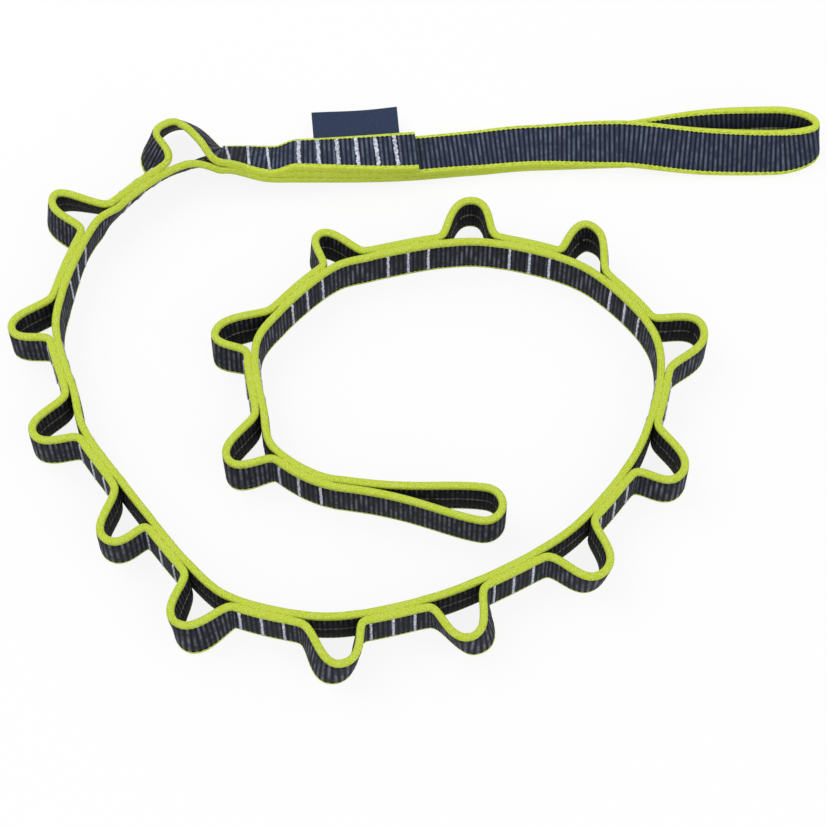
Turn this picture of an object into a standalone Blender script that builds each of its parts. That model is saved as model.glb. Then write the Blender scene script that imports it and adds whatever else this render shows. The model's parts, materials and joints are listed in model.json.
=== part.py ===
"""Climbing daisy chain, laid out in a spiral.

One flat webbing is laid double and sewn to itself with groups of bar tacks. Between the groups the
outer ply stands away from the main strand as a pocket. The webbing turns back in a small end loop,
and at its other end it makes a strap and a girth loop whose end is spliced between the plies.
The pockets stand on edge. From the first pocket to the girth loop the webbing twists over onto its face.
The chain bends at the root of each pocket, where its plies end in a round knuckle.
"""

import math
from dataclasses import dataclass

import bmesh
import bpy
from mathutils import Matrix, Vector

# Webbing
WEB_WIDTH = 0.020
WEB_THICK = 0.003
WEB_CHAMFER = 0.0008
PLY_GAP = 0.0003

# Bar tacks
BARS_IN_GROUP = 3
BARS_IN_SPLICE = 6
BAR_PITCH = 0.0086
BAR_WIDTH = 0.0016
BAR_HEIGHT = 0.0004
BAR_EDGE = 0.0022
BAR_END_MARGIN = 0.00565
BAR_MARGIN = 0.0059
SPLICE_BAR_PITCH = 0.0083

# Lengths along the chain
TACK_LENGTH = (BARS_IN_GROUP - 1) * BAR_PITCH + 2 * BAR_END_MARGIN
MOUTH_LENGTH = 0.020
SPLICE_LENGTH = 0.0662
STRAP_LENGTH = 0.0814
GIRTH_LENGTH = 0.085
END_LOOP_LENGTH = 0.066

# How far the loops and pockets stand open, between the middles of their plies
POCKET_DEPTH = 0.0195
GIRTH_OPENING = 0.0129
END_LOOP_OPENING = 0.0145

# Knuckles at the bends
KNUCKLE_GAP = 0.0003

# Splice
CUT_END_SETBACK = 0.005
RAMP_LENGTH = 0.005
RETURN_END_SETBACK = 0.0005

# Label
LABEL_LENGTH = 0.037
LABEL_REACH = 0.013
LABEL_THICK = 0.0006
LABEL_GAP = 0.0003
LABEL_RISE = 0.001
LABEL_CENTRE_SHARE = 0.43

# Distance between the middles of two plies that lie together
PLY_STEP = WEB_THICK + PLY_GAP
KNUCKLE_RADIUS = WEB_THICK + PLY_GAP / 2
HOLLOW_FLATNESS = 0.98

# Headings and turns are in degrees, to the left, as the chain is walked from the girth loop
START_HEADING = 180.5
STRAP_TURN = 5.8
SPLICE_TURN = 0
FIRST_TACK_TURN = -11.5
STRAP_MIDDLE_SHARE = 0.44
FIRST_TACK_SHARE = 0.785
END_LOOP_TURN = 20

# Lean of the webbing from upright, in degrees, where each stretch begins
LEAN_GIRTH_FRONT = 142
LEAN_GIRTH_BACK = 163
LEAN_GIRTH_TIP = 185.5
LEAN_GIRTH_ROOT = 114
LEAN_STRAP_MIDDLE = 93.6
LEAN_SPLICE = 86.5
LEAN_FIRST_TACK = 68
LEAN_FIRST_MOUTH = 52
LEAN_SECOND_TACK = 22
LEAN_SECOND_MOUTH = 19.7

GIRTH_BEND = 1.2
END_LOOP_BEND = -2

# Share of the girth loop's side along which its upper ply comes down off the lower one
STACKED_SHARE = 0.6

# How late along each loop its sides part: below one they part at the root already
GIRTH_PARTING = 0.78
END_LOOP_PARTING = 1.5

# Shares of the heading at a root that come from the sewn stretch, which is the stiffer one
SEWN_SHARE = 0.7

# Shares of the mouth's length that shape the pocket's sides
ROOT_HANDLE_SHARE = 0.30
TIP_HANDLE_SHARE = 0.42

# How much sooner than at its far root a pocket and its mouth take up the lean of that root
MOUTH_HURRY = 1.6

# Counts of faces along each stretch
POCKET_STEPS = 7
MOUTH_STEPS = 5
FLANK_STEPS = 9
TIP_STEPS = 8
STRAP_STEPS = 6
RAMP_STEPS = 4
LABEL_STEPS = 4


@dataclass(frozen=True)
class Pocket:
    """One pocket and the sewn stretch after it, as turns in degrees and shares of the driving lengths.

    The tilts are how far the pocket's upper edge lies over to its far root, and outwards, in degrees.
    """

    mouth_turn: float
    tack_turn: float
    mouth_share: float
    tack_share: float
    tip_share: float
    depth_share: float
    tip_lean: float
    width_share: float = 1.0
    tilt_along: float = 0.0
    tilt_out: float = 0.0


POCKET_SHARES = (
    Pocket(21.2, 27.9, 1.26, 0.96, 0.82, 1.10, 30, 1.4, 8, -4),
    Pocket(10.5, 19.6, 0.88, 1.145, 0.80, 1.16, 20),
    Pocket(13, 21, 0.84, 0.97, 0.94, 0.95, 10, 1.05),
    Pocket(-2, 19, 0.94, 0.97, 0.80, 1.02, 10, 1.08),
    Pocket(2, 2, 1.04, 0.91, 0.84, 0.98, 15, 1.05),
    Pocket(11, 25, 1.06, 0.98, 0.66, 1.10, 0, 1.1, -13, -3),
    Pocket(15, 13, 1.07, 0.97, 0.70, 1.03, 10, 1.1, 11, 0),
    Pocket(8, 7, 1.08, 0.97, 0.62, 1.05, 0, 1.1, -14, 0),
    Pocket(10, 13, 1.14, 0.94, 0.62, 1.08, 5, 1.15, 0, 10),
    Pocket(12, 13, 1.09, 0.91, 0.42, 1.06, -10, 1.15),
    Pocket(24, 30, 1.08, 0.97, 0.74, 1.10, 0, 1.2),
    Pocket(18, 17, 0.98, 0.97, 0.82, 1.02, 0, 1.2, 8, 0),
    Pocket(14, 13, 1.05, 1.19, 0.54, 1.07, 0, 1.15),
    Pocket(7, 25, 0.75, 1.08, 1.05, 0.89, 10, 1.1, -5, 0),
    Pocket(17, 37, 0.91, 1.01, 1.12, 0.90, 10, 1.1, -6, 3),
    Pocket(8, 46, 0.93, 1.00, 0.96, 0.99, 10, 1.1, -5, 0),
)

WEBBING_COLOUR = (0.045, 0.052, 0.080, 1.0)
LABEL_COLOUR = (0.018, 0.040, 0.095, 1.0)


@dataclass(frozen=True)
class Place:
    """A place on a ply: its middle, the way along it, the way out of its face and the way to its upper edge."""

    middle: Vector
    along: Vector
    out: Vector
    edge: Vector

    def moved(self, along, out):
        """Return the place moved along the webbing and out of its face."""
        return Place(self.middle + self.along * along + self.out * out, self.along, self.out, self.edge)

    def turned(self):
        """Return the same place for a ply that is walked the other way."""
        return Place(self.middle, -self.along, -self.out, self.edge)

    def pitched(self, angle):
        """Return the place with the ply sloping down, away from its outer face, by an angle in radians."""
        cosine, sine = math.cos(angle), math.sin(angle)
        along = self.along * cosine - self.out * sine
        return Place(self.middle, along, self.out * cosine + self.along * sine, self.edge)


def mix(a, b, share):
    """Return the value that lies at a share of the way from a to b."""
    return a + (b - a) * share


def smooth(share):
    """Return a share that starts and ends level."""
    return share * share * (3 - 2 * share)


def plan_way(heading):
    """Return the level unit vector at a heading in degrees."""
    angle = math.radians(heading)
    return Vector((math.cos(angle), math.sin(angle), 0))


def rest_height(lean):
    """Return the height of a ply's middle when its lowest corner, or a bar tack under it, is on the surface."""
    angle = math.radians(lean)
    upright = WEB_WIDTH / 2 * abs(math.cos(angle))
    lying = (WEB_THICK / 2 + BAR_HEIGHT) * abs(math.sin(angle))
    return upright + lying


def place_at(point, heading, lean, height):
    """Return the place over a plan point, leaned from upright about the way along."""
    along = plan_way(heading)
    side = plan_way(heading - 90)
    up = Vector((0, 0, 1))
    cosine = math.cos(math.radians(lean))
    sine = math.sin(math.radians(lean))
    middle = Vector((point.x, point.y, height))
    return Place(middle, along, side * cosine + up * sine, up * cosine - side * sine)


def bezier(points, share):
    """Return the point and the direction on a cubic Bezier curve."""
    a, b, c, d = points
    rest = 1 - share
    point = a * rest ** 3 + b * (3 * rest * rest * share) + c * (3 * rest * share * share) + d * share ** 3
    slope = (b - a) * (rest * rest) + (c - b) * (2 * rest * share) + (d - c) * (share * share)
    return point, slope


def heading_of(slope):
    """Return the heading in degrees of a level vector."""
    return math.degrees(math.atan2(slope.y, slope.x))


class Stretch:
    """A stretch of the main strand between two roots, as a smooth plan curve with a changing lean."""

    def __init__(self, start, end, headings, leans, hurry):
        """Keep the curve's control points, which are a third of its length from its ends."""
        reach = (end - start).length / 3
        first, last = plan_way(headings[0]), plan_way(headings[1])
        self.points = (start, start + first * reach, end - last * reach, end)
        self.headings = headings
        self.leans = leans
        self.hurry = hurry
        self.length = (end - start).length

    def lean(self, share):
        """Return the webbing's lean at a share of the stretch."""
        return mix(self.leans[0], self.leans[1], smooth(min(share * self.hurry, 1)))

    def place(self, share):
        """Return the main strand's place at a share of the stretch."""
        point, slope = bezier(self.points, share)
        lean = self.lean(share)
        return place_at(point, heading_of(slope), lean, rest_height(lean))


class Chain:
    """The line of the main strand, from the root of the girth loop to the root of the end loop."""

    def __init__(self):
        """Walk the stretches one after another, then centre the walk."""
        legs = [
            ("strap", STRAP_LENGTH * STRAP_MIDDLE_SHARE, 0, LEAN_GIRTH_ROOT),
            ("strap", STRAP_LENGTH * (1 - STRAP_MIDDLE_SHARE), STRAP_TURN, LEAN_STRAP_MIDDLE),
            ("splice", SPLICE_LENGTH, SPLICE_TURN, LEAN_SPLICE),
            ("tack", TACK_LENGTH * FIRST_TACK_SHARE, FIRST_TACK_TURN, LEAN_FIRST_TACK),
        ]
        falling = [LEAN_FIRST_MOUTH, LEAN_SECOND_TACK, LEAN_SECOND_MOUTH] + [0] * 2 * len(POCKET_SHARES)
        for number, pocket in enumerate(POCKET_SHARES):
            first, second = falling[2 * number:2 * number + 2]
            legs.append(("mouth", MOUTH_LENGTH * pocket.mouth_share, pocket.mouth_turn, first))
            legs.append(("tack", TACK_LENGTH * pocket.tack_share, pocket.tack_turn, second))
        corners = [Vector((0, 0, 0))]
        ways = []
        heading = START_HEADING
        for kind, length, turn, lean in legs:
            heading += turn
            ways.append(heading)
            corners.append(corners[-1] + plan_way(heading) * length)
        roots = [ways[0]]
        for number in range(1, len(legs)):
            share = SEWN_SHARE if legs[number][0] == "tack" else 1 - SEWN_SHARE
            roots.append(mix(ways[number - 1], ways[number], share))
        roots.append(ways[-1] + END_LOOP_TURN)
        leans = [leg[3] for leg in legs] + [0]
        self.stretches = []
        for number in range(len(legs)):
            ends = corners[number], corners[number + 1]
            pair = roots[number], roots[number + 1]
            hurry = MOUTH_HURRY if legs[number][0] == "mouth" else 1
            self.stretches.append(Stretch(*ends, pair, (leans[number], leans[number + 1]), hurry))
        self.strap = self.stretches[:2]
        self.splice = self.stretches[2]
        self.tacks = self.stretches[3::2]
        self.mouths = self.stretches[4::2]

    def bend(self, stretch, share):
        """Return the place halfway between the main strand and the ply over it, where the chain bends."""
        return stretch.place(share).moved(0, PLY_STEP / 2)


def section_corners():
    """Return the corners of the webbing's section, as distances out of its face and towards its edge."""
    face = WEB_THICK / 2
    side = WEB_WIDTH / 2
    inner_face = face - WEB_CHAMFER
    inner_side = side - WEB_CHAMFER
    return (
        (face, -inner_side), (face, inner_side), (inner_face, side), (-inner_face, side),
        (-face, inner_side), (-face, -inner_side), (-inner_face, -side), (inner_face, -side),
    )


@dataclass(frozen=True)
class Knuckle:
    """The end of a ply at a bend: a circle round the bend's axis, which the ply reaches from behind or ahead."""

    bend: Place
    radius: float
    sign: int
    offset: float = PLY_STEP / 2

    def ring(self):
        """Return the corners of the ply's end on the circle."""
        corners = []
        for out, edge in section_corners():
            away = self.offset + out
            reach = self.sign * math.sqrt(max(self.radius ** 2 - away ** 2, 0))
            corners.append(self.bend.moved(reach, away).middle + self.bend.edge * edge)
        return corners


def round_end(bend, sign=1, offset=PLY_STEP / 2):
    """Return the outward end of a ply at a bend."""
    return Knuckle(bend, KNUCKLE_RADIUS, sign, offset)


def hollow_end(bend, sign=1, offset=PLY_STEP / 2):
    """Return the inward end of a ply at a bend, clear of the outward one, also where its faces are flat."""
    return Knuckle(bend, (KNUCKLE_RADIUS + KNUCKLE_GAP) / HOLLOW_FLATNESS, sign, offset)


def ring_of(place):
    """Return the corners of the webbing's section at a place, or at the end of a ply."""
    if isinstance(place, Knuckle):
        return place.ring()
    return [place.middle + place.out * out + place.edge * edge for out, edge in section_corners()]


def webbing_mesh(name, places, bars=(), bar_side=1):
    """Return a mesh of the webbing's section carried along places, with a raised bar after each listed place.

    The faces of its two broad sides are cut along the same diagonal, so that twisted plies lie together.
    """
    mesh = bpy.data.meshes.new(name)
    shape = bmesh.new()
    rings = []
    for place in places:
        rings.append([shape.verts.new(corner) for corner in ring_of(place)])
    sides = len(rings[0])
    face_side = 0 if bar_side > 0 else sides // 2
    bar_faces = []
    for number in range(len(rings) - 1):
        for side in range(sides):
            after = (side + 1) % sides
            ring, following = rings[number], rings[number + 1]
            corners = (ring[side], ring[after], following[after], following[side])
            raised = number in bars and side == face_side
            if side >= sides // 2 and not raised:
                corners = corners[1:] + corners[:1]
            face = shape.faces.new(corners)
            if raised:
                bar_faces.append((face, places[number].out * bar_side))
    shape.faces.new(list(reversed(rings[0])))
    shape.faces.new(rings[-1])
    for face, way in bar_faces:
        raise_bar(shape, face, way)
    bmesh.ops.recalc_face_normals(shape, faces=shape.faces[:])
    shape.to_mesh(mesh)
    shape.free()
    return mesh


def raise_bar(shape, face, way):
    """Raise a bar tack on one face, set in from the webbing's two edges."""
    share = (BAR_EDGE - WEB_CHAMFER) / (WEB_WIDTH - 2 * WEB_CHAMFER)
    low, high, far_high, far_low = face.verts[:]
    sill = [shape.verts.new(low.co.lerp(high.co, share)), shape.verts.new(low.co.lerp(high.co, 1 - share)),
            shape.verts.new(far_low.co.lerp(far_high.co, 1 - share)),
            shape.verts.new(far_low.co.lerp(far_high.co, share))]
    top = [shape.verts.new(vert.co + way * BAR_HEIGHT) for vert in sill]
    shape.faces.remove(face)
    rim = (low, high, far_high, far_low)
    for number in range(4):
        after = (number + 1) % 4
        shape.faces.new((rim[number], rim[after], sill[after], sill[number]))
        shape.faces.new((sill[number], sill[after], top[after], top[number]))
    shape.faces.new(top)


def add_piece(name, mesh, material, parent=None):
    """Add a mesh to the scene as a named sub-part with its material, its origin on its parent's."""
    mesh.materials.append(material)
    mesh.shade_smooth()
    mesh.set_sharp_from_angle(angle=math.radians(32))
    piece = bpy.data.objects.new(name, mesh)
    bpy.context.scene.collection.objects.link(piece)
    if parent is not None:
        piece.parent = parent
        mesh.transform(parent.matrix_world.inverted())
    return piece


def add_bend(name, place, parent=None):
    """Add an empty on the axis of a bend, which the pieces beyond it hang on."""
    bend = bpy.data.objects.new(name, None)
    bpy.context.scene.collection.objects.link(bend)
    bend.empty_display_size = WEB_WIDTH
    bend.parent = parent
    bend.matrix_world = Matrix.Translation(place.middle)
    bpy.context.view_layer.update()
    return bend


def cloth(name, colour, roughness):
    """Return a plain matt material."""
    material = bpy.data.materials.new(name)
    material.use_nodes = True
    shader = material.node_tree.nodes["Principled BSDF"]
    shader.inputs["Base Color"].default_value = colour
    shader.inputs["Roughness"].default_value = roughness
    shader.inputs["Metallic"].default_value = 0
    return material


def bar_shares(length, count):
    """Return the shares of a stretch at which its centred bar tacks start and end."""
    shares = []
    for number in range(count):
        middle = length / 2 + (number - (count - 1) / 2) * BAR_PITCH
        shares.append((middle - BAR_WIDTH / 2) / length)
        shares.append((middle + BAR_WIDTH / 2) / length)
    return shares


def group_bars(first):
    """Return the numbers of the places that a group's bar tacks follow, from its first place on."""
    return [first + 2 * number for number in range(BARS_IN_GROUP)]


def tack_places(stretch, ply):
    """Return the places of one ply along a sewn stretch, two for each bar tack."""
    return [stretch.place(share).moved(0, ply) for share in bar_shares(stretch.length, BARS_IN_GROUP)]


def pocket_places(pocket, mouth):
    """Return the outer ply's places round a pocket, in two curves that meet at its tip."""
    near, far = mouth.place(0), mouth.place(1)
    start = near.moved(0, PLY_STEP).middle
    end = far.moved(0, PLY_STEP).middle
    chord = mouth.points[3] - mouth.points[0]
    heading = heading_of(chord)
    side = plan_way(heading - 90)
    tip = mouth.points[0] + chord * pocket.tip_share + side * (POCKET_DEPTH * pocket.depth_share)
    level = Vector((1, 1, 0))
    start_plan, end_plan = start * level, end * level
    root_reach = chord.length * ROOT_HANDLE_SHARE
    tip_reach = chord.length * TIP_HANDLE_SHARE * pocket.width_share
    tip_way = plan_way(heading + pocket.tip_lean) * tip_reach
    rising = (start_plan, start_plan + near.along * root_reach, tip - tip_way, tip)
    falling = (tip, tip + tip_way, end_plan - far.along * root_reach, end_plan)
    places = []
    for number in range(2 * POCKET_STEPS):
        share = number / POCKET_STEPS
        curve = rising if share < 1 else falling
        point, slope = bezier(curve, share % 1)
        away = math.radians(heading_of(slope) - heading)
        tilt = pocket.tilt_out * math.cos(away) + pocket.tilt_along * math.sin(away)
        lean = mouth.lean(share) - tilt * math.sin(math.pi * share / 2)
        upright = math.radians(mouth.lean(share))
        stacked = PLY_STEP * math.sin(upright)
        apart = PLY_STEP * (math.cos(upright) - math.cos(math.radians(mouth.leans[0])))
        if 0 < share < 1 and apart > 0:
            apart += 2 * PLY_GAP
        point += plan_way(heading_of(slope) - 90) * (apart * max(1 - share, 0))
        places.append(place_at(point, heading_of(slope), lean, rest_height(lean) + stacked))
    return places


def loop_places(root, heading, leans, length, opening, bend, hand, parting):
    """Return the places round a loop that leaves on one ply and comes back on the other.

    The two plies part from each other along the loop and join in a half circle at its tip, round which
    the loop turns to the left where hand is 1 and to the right where it is -1. The loop's middle line
    bends steadily. The leans are those at the root and at the end of the side that goes, then at the
    tip's middle, then at the start of the side that comes back and at its root, counted on through the tip.
    """
    start = root.middle * Vector((1, 1, 0))
    radius = opening / 2
    flank = length - radius
    near = PLY_STEP / 2 * abs(math.cos(math.radians(leans[0])))
    stacked = PLY_STEP * abs(math.sin(math.radians(leans[0])))
    places = []

    def add(run, across, turn, lean, lift):
        """Add the place that lies a run along the middle line and a distance to its side."""
        way = heading + bend * run / length
        middle = start + plan_way(heading + bend * run / length / 2) * run
        point = middle + plan_way(way - 90) * (across * hand)
        places.append(place_at(point, way + turn * hand, lean, rest_height(lean) + lift))

    def flank_side(going, share):
        """Add a place on one of the loop's two sides."""
        eased = share ** parting
        spread = mix(near, radius, smooth(eased))
        steep = 6 * eased * (1 - eased) * parting * share ** (parting - 1)
        slope = math.degrees(math.atan((radius - near) * steep / flank))
        if going:
            add(flank * share, spread, -slope, mix(leans[0], leans[1], smooth(share)), 0)
        else:
            lift = stacked * (1 - smooth(min(share / STACKED_SHARE, 1)))
            add(flank * share, -spread, 180 + slope, mix(leans[4], leans[3], smooth(share)), lift)

    for step in range(1, FLANK_STEPS):
        flank_side(True, step / FLANK_STEPS)
    for step in range(TIP_STEPS + 1):
        share = step / TIP_STEPS
        angle = math.radians(180 * share)
        lean = mix(leans[2], leans[1 if share < 1 / 2 else 3], abs(2 * share - 1))
        add(flank + radius * math.sin(angle), radius * math.cos(angle), 180 * share, lean, 0)
    for step in range(FLANK_STEPS - 1, 0, -1):
        flank_side(False, step / FLANK_STEPS)
    return places


def build_units(chain, webbing, bends):
    """Build both plies of each pocket, from the bend before it to the bend after it."""
    for number, pocket in enumerate(POCKET_SHARES):
        tack, mouth = chain.tacks[number], chain.mouths[number]
        label = f"{number + 1:02d}"
        far = chain.bend(mouth, 1)
        for name, ply, bar_side in (("pocket_", PLY_STEP, 1), ("main_strand_", 0, -1)):
            offset = ply - PLY_STEP / 2
            if number:
                first = hollow_end(chain.bend(tack, 0), offset=offset)
            else:
                first = tack.place(0).moved(PLY_GAP, ply)
            if ply:
                middle = pocket_places(pocket, mouth)
            else:
                middle = [mouth.place(step / MOUTH_STEPS) for step in range(MOUTH_STEPS)]
            places = [first] + tack_places(tack, ply) + middle + [round_end(far, offset=offset)]
            mesh = webbing_mesh(name + label, places, group_bars(1), bar_side)
            add_piece(name + label, mesh, webbing, bends[number])


def build_end_loop(chain, webbing, bend):
    """Build the last sewn stretch and the small loop that the outer ply turns back through."""
    tack = chain.tacks[-1]
    axis = chain.bend(tack, 0)
    root = tack.place(1).moved(0, PLY_STEP / 2)
    sizes = END_LOOP_LENGTH, END_LOOP_OPENING
    loop = loop_places(root, tack.headings[1], (0, 0, 0, 0, 0), *sizes, END_LOOP_BEND, 1, END_LOOP_PARTING)
    going = [hollow_end(axis)] + tack_places(tack, PLY_STEP) + [root.moved(0, PLY_STEP / 2)]
    back = [root.moved(0, -PLY_STEP / 2)] + tack_places(tack, 0)[::-1]
    coming = [place.turned() for place in back] + [hollow_end(axis.turned(), -1)]
    bars = group_bars(1) + group_bars(len(going) + len(loop) + 1)
    add_piece("end_loop", webbing_mesh("end_loop", going + loop + coming, bars), webbing, bend)


def build_girth_loop(chain, webbing, bend):
    """Build the large loop that the strap's two plies part into."""
    root = chain.bend(chain.strap[0], 0)
    leans = (-LEAN_GIRTH_ROOT, -LEAN_GIRTH_BACK, -LEAN_GIRTH_TIP,
             LEAN_GIRTH_FRONT - 360, LEAN_GIRTH_ROOT - 360)
    heading = START_HEADING + 180
    sizes = GIRTH_LENGTH, GIRTH_OPENING
    loop = loop_places(root, heading, leans, *sizes, GIRTH_BEND, -1, GIRTH_PARTING)
    places = [round_end(root.turned(), -1)] + loop + [round_end(root)]
    add_piece("girth_loop", webbing_mesh("girth_loop", places), webbing, bend)


def build_strap(chain, webbing, bend):
    """Build the strap's two plies, between the girth loop and the splice."""
    first, second = chain.strap
    for name, ply in (("strap_lower_ply", 0), ("strap_upper_ply", PLY_STEP)):
        offset = ply - PLY_STEP / 2
        places = [hollow_end(chain.bend(first, 0), offset=offset)]
        for stretch in (first, second):
            for step in range(STRAP_STEPS):
                if step or stretch is second:
                    places.append(stretch.place(step / STRAP_STEPS).moved(0, ply))
        places.append(round_end(chain.bend(second, 1), offset=offset))
        add_piece(name, webbing_mesh(name, places), webbing, bend)


def build_splice(chain, webbing):
    """Build the splice, where the girth loop's end is sewn between the two plies that go on as the chain."""
    splice = chain.splice
    axis = chain.bend(splice, 0)
    ramp = SPLICE_LENGTH - RAMP_LENGTH
    bars = []
    for number in range(BARS_IN_SPLICE):
        middle = ramp - BAR_MARGIN - (BARS_IN_SPLICE - 1 - number) * SPLICE_BAR_PITCH
        bars += [middle - BAR_WIDTH / 2, middle + BAR_WIDTH / 2]
    top = [CUT_END_SETBACK] + bars + [ramp]
    lift = 2 * PLY_STEP
    outer = [splice.place(run / SPLICE_LENGTH).moved(0, lift) for run in top]
    for step in range(1, RAMP_STEPS + 1):
        share = step / RAMP_STEPS
        place = splice.place((ramp + RAMP_LENGTH * share) / SPLICE_LENGTH)
        drop = PLY_STEP * smooth(share)
        slope = PLY_STEP * 6 * share * (1 - share) / RAMP_LENGTH
        outer.append(place.moved(0, lift - drop).pitched(math.atan(slope)))
    marks = [1 + 2 * number for number in range(BARS_IN_SPLICE)]
    add_piece("splice_outer_ply", webbing_mesh("splice_outer_ply", outer, marks), webbing)
    runs = [CUT_END_SETBACK] + bars + [ramp - RETURN_END_SETBACK]
    middle = [splice.place(run / SPLICE_LENGTH).moved(0, PLY_STEP) for run in runs]
    mesh = webbing_mesh("splice_return_ply", [hollow_end(axis)] + middle)
    add_piece("splice_return_ply", mesh, webbing)
    lower = [splice.place(run / SPLICE_LENGTH) for run in top + [SPLICE_LENGTH]]
    first = hollow_end(axis, offset=-PLY_STEP / 2)
    marks = [mark + 1 for mark in marks]
    mesh = webbing_mesh("splice_main_ply", [first] + lower, marks, -1)
    add_piece("splice_main_ply", mesh, webbing)


def label_place(chain):
    """Return the place of the label's sewn edge, beside the far edges of the splice's upper plies."""
    half = LABEL_LENGTH / 2 / SPLICE_LENGTH
    middle = chain.splice.place(LABEL_CENTRE_SHARE).moved(0, 1.5 * PLY_STEP)
    side = plan_way(heading_of(middle.along) - 90)
    beyond = 0
    for share in (LABEL_CENTRE_SHARE - half, LABEL_CENTRE_SHARE, LABEL_CENTRE_SHARE + half):
        for ply in (0, PLY_STEP, 2 * PLY_STEP):
            for corner in ring_of(chain.splice.place(share).moved(0, ply)):
                beyond = max(beyond, (corner - middle.middle).dot(side))
    edge = middle.middle - middle.edge * (WEB_WIDTH / 2)
    point = middle.middle + side * (beyond + LABEL_GAP)
    return Place(Vector((point.x, point.y, edge.z)), middle.along, Vector((0, 0, 1)), side)


def build_label(chain, material, bend):
    """Build the woven label, a thin flap that stands out level from the splice's far edge."""
    place = label_place(chain)
    mesh = bpy.data.meshes.new("label")
    shape = bmesh.new()
    half = LABEL_LENGTH / 2
    rows = []
    for step in range(LABEL_STEPS + 1):
        share = step / LABEL_STEPS
        rise = LABEL_RISE * share * share
        row = []
        for along, out in ((-half, -LABEL_THICK / 2), (half, -LABEL_THICK / 2),
                           (half, LABEL_THICK / 2), (-half, LABEL_THICK / 2)):
            reach = share * LABEL_REACH
            row.append(shape.verts.new(place.moved(along, out + rise).middle + place.edge * reach))
        rows.append(row)
    for near, far in zip(rows, rows[1:]):
        for side in range(4):
            after = (side + 1) % 4
            shape.faces.new((near[side], near[after], far[after], far[side]))
    shape.faces.new(rows[0][::-1])
    shape.faces.new(rows[-1])
    bmesh.ops.recalc_face_normals(shape, faces=shape.faces[:])
    shape.to_mesh(mesh)
    shape.free()
    add_piece("label", mesh, material, bend)


def clear_scene():
    """Remove the objects that the scene holds."""
    for item in list(bpy.data.objects):
        bpy.data.objects.remove(item, do_unlink=True)


def centre_on_origin():
    """Move the whole part so that the middle of its box is over the origin and its lowest point at zero."""
    bpy.context.view_layer.update()
    corners = []
    for item in bpy.data.objects:
        if item.type == "MESH":
            corners += [item.matrix_world @ vert.co for vert in item.data.vertices]
    low = Vector([min(corner[axis] for corner in corners) for axis in range(3)])
    high = Vector([max(corner[axis] for corner in corners) for axis in range(3)])
    middle = (low + high) / 2
    for item in bpy.data.objects:
        if item.parent is None:
            item.location -= Vector((middle.x, middle.y, low.z))
    bpy.context.view_layer.update()


def main():
    """Build the daisy chain."""
    clear_scene()
    webbing = cloth("webbing", WEBBING_COLOUR, 0.85)
    woven = cloth("woven_label", LABEL_COLOUR, 0.7)
    chain = Chain()
    strap_bend = add_bend("strap_bend", chain.bend(chain.splice, 0))
    girth_bend = add_bend("girth_bend", chain.bend(chain.strap[0], 0), strap_bend)
    label_bend = add_bend("label_bend", label_place(chain))
    bends = [None]
    for number, tack in enumerate(chain.tacks[1:]):
        bends.append(add_bend(f"bend_{number + 1:02d}", chain.bend(tack, 0), bends[-1]))
    build_girth_loop(chain, webbing, girth_bend)
    build_strap(chain, webbing, strap_bend)
    build_splice(chain, webbing)
    build_label(chain, woven, label_bend)
    build_units(chain, webbing, bends)
    build_end_loop(chain, webbing, bends[-1])
    centre_on_origin()


main()
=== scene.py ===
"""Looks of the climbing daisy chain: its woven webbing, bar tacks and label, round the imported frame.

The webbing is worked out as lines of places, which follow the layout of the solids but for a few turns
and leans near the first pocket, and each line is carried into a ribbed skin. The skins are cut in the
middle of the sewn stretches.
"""

from __future__ import annotations

import json
import logging
import math
from dataclasses import dataclass, field, replace
from enum import Enum
from typing import Any, Sequence

import bpy
import numpy as np
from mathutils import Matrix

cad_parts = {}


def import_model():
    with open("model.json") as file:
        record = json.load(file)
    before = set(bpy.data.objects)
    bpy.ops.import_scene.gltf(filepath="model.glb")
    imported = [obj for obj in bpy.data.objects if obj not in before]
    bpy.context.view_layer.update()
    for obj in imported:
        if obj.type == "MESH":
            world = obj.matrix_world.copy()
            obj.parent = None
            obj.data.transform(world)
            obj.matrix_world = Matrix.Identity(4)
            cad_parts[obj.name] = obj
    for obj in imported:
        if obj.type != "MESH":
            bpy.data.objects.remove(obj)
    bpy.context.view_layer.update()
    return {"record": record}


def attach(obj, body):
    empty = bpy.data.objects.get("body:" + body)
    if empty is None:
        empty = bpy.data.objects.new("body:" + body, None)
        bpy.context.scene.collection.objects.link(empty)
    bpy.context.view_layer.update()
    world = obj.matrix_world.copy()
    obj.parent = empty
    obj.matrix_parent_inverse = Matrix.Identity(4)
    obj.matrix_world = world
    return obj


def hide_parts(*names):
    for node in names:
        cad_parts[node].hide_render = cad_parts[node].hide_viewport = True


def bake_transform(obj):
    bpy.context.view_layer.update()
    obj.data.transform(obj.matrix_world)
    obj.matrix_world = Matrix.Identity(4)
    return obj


LOG = logging.getLogger("daisy_chain")
MM = 0.001
UP = np.array([0.0, 0.0, 1.0])
LEVEL = np.array([1.0, 1.0, 0.0])
SHARP_EDGE = 60
MAP_NAME = "webbing_map"
SEWN_NAME = "webbing_sewn"
Colour = tuple[float, float, float, float]


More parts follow.
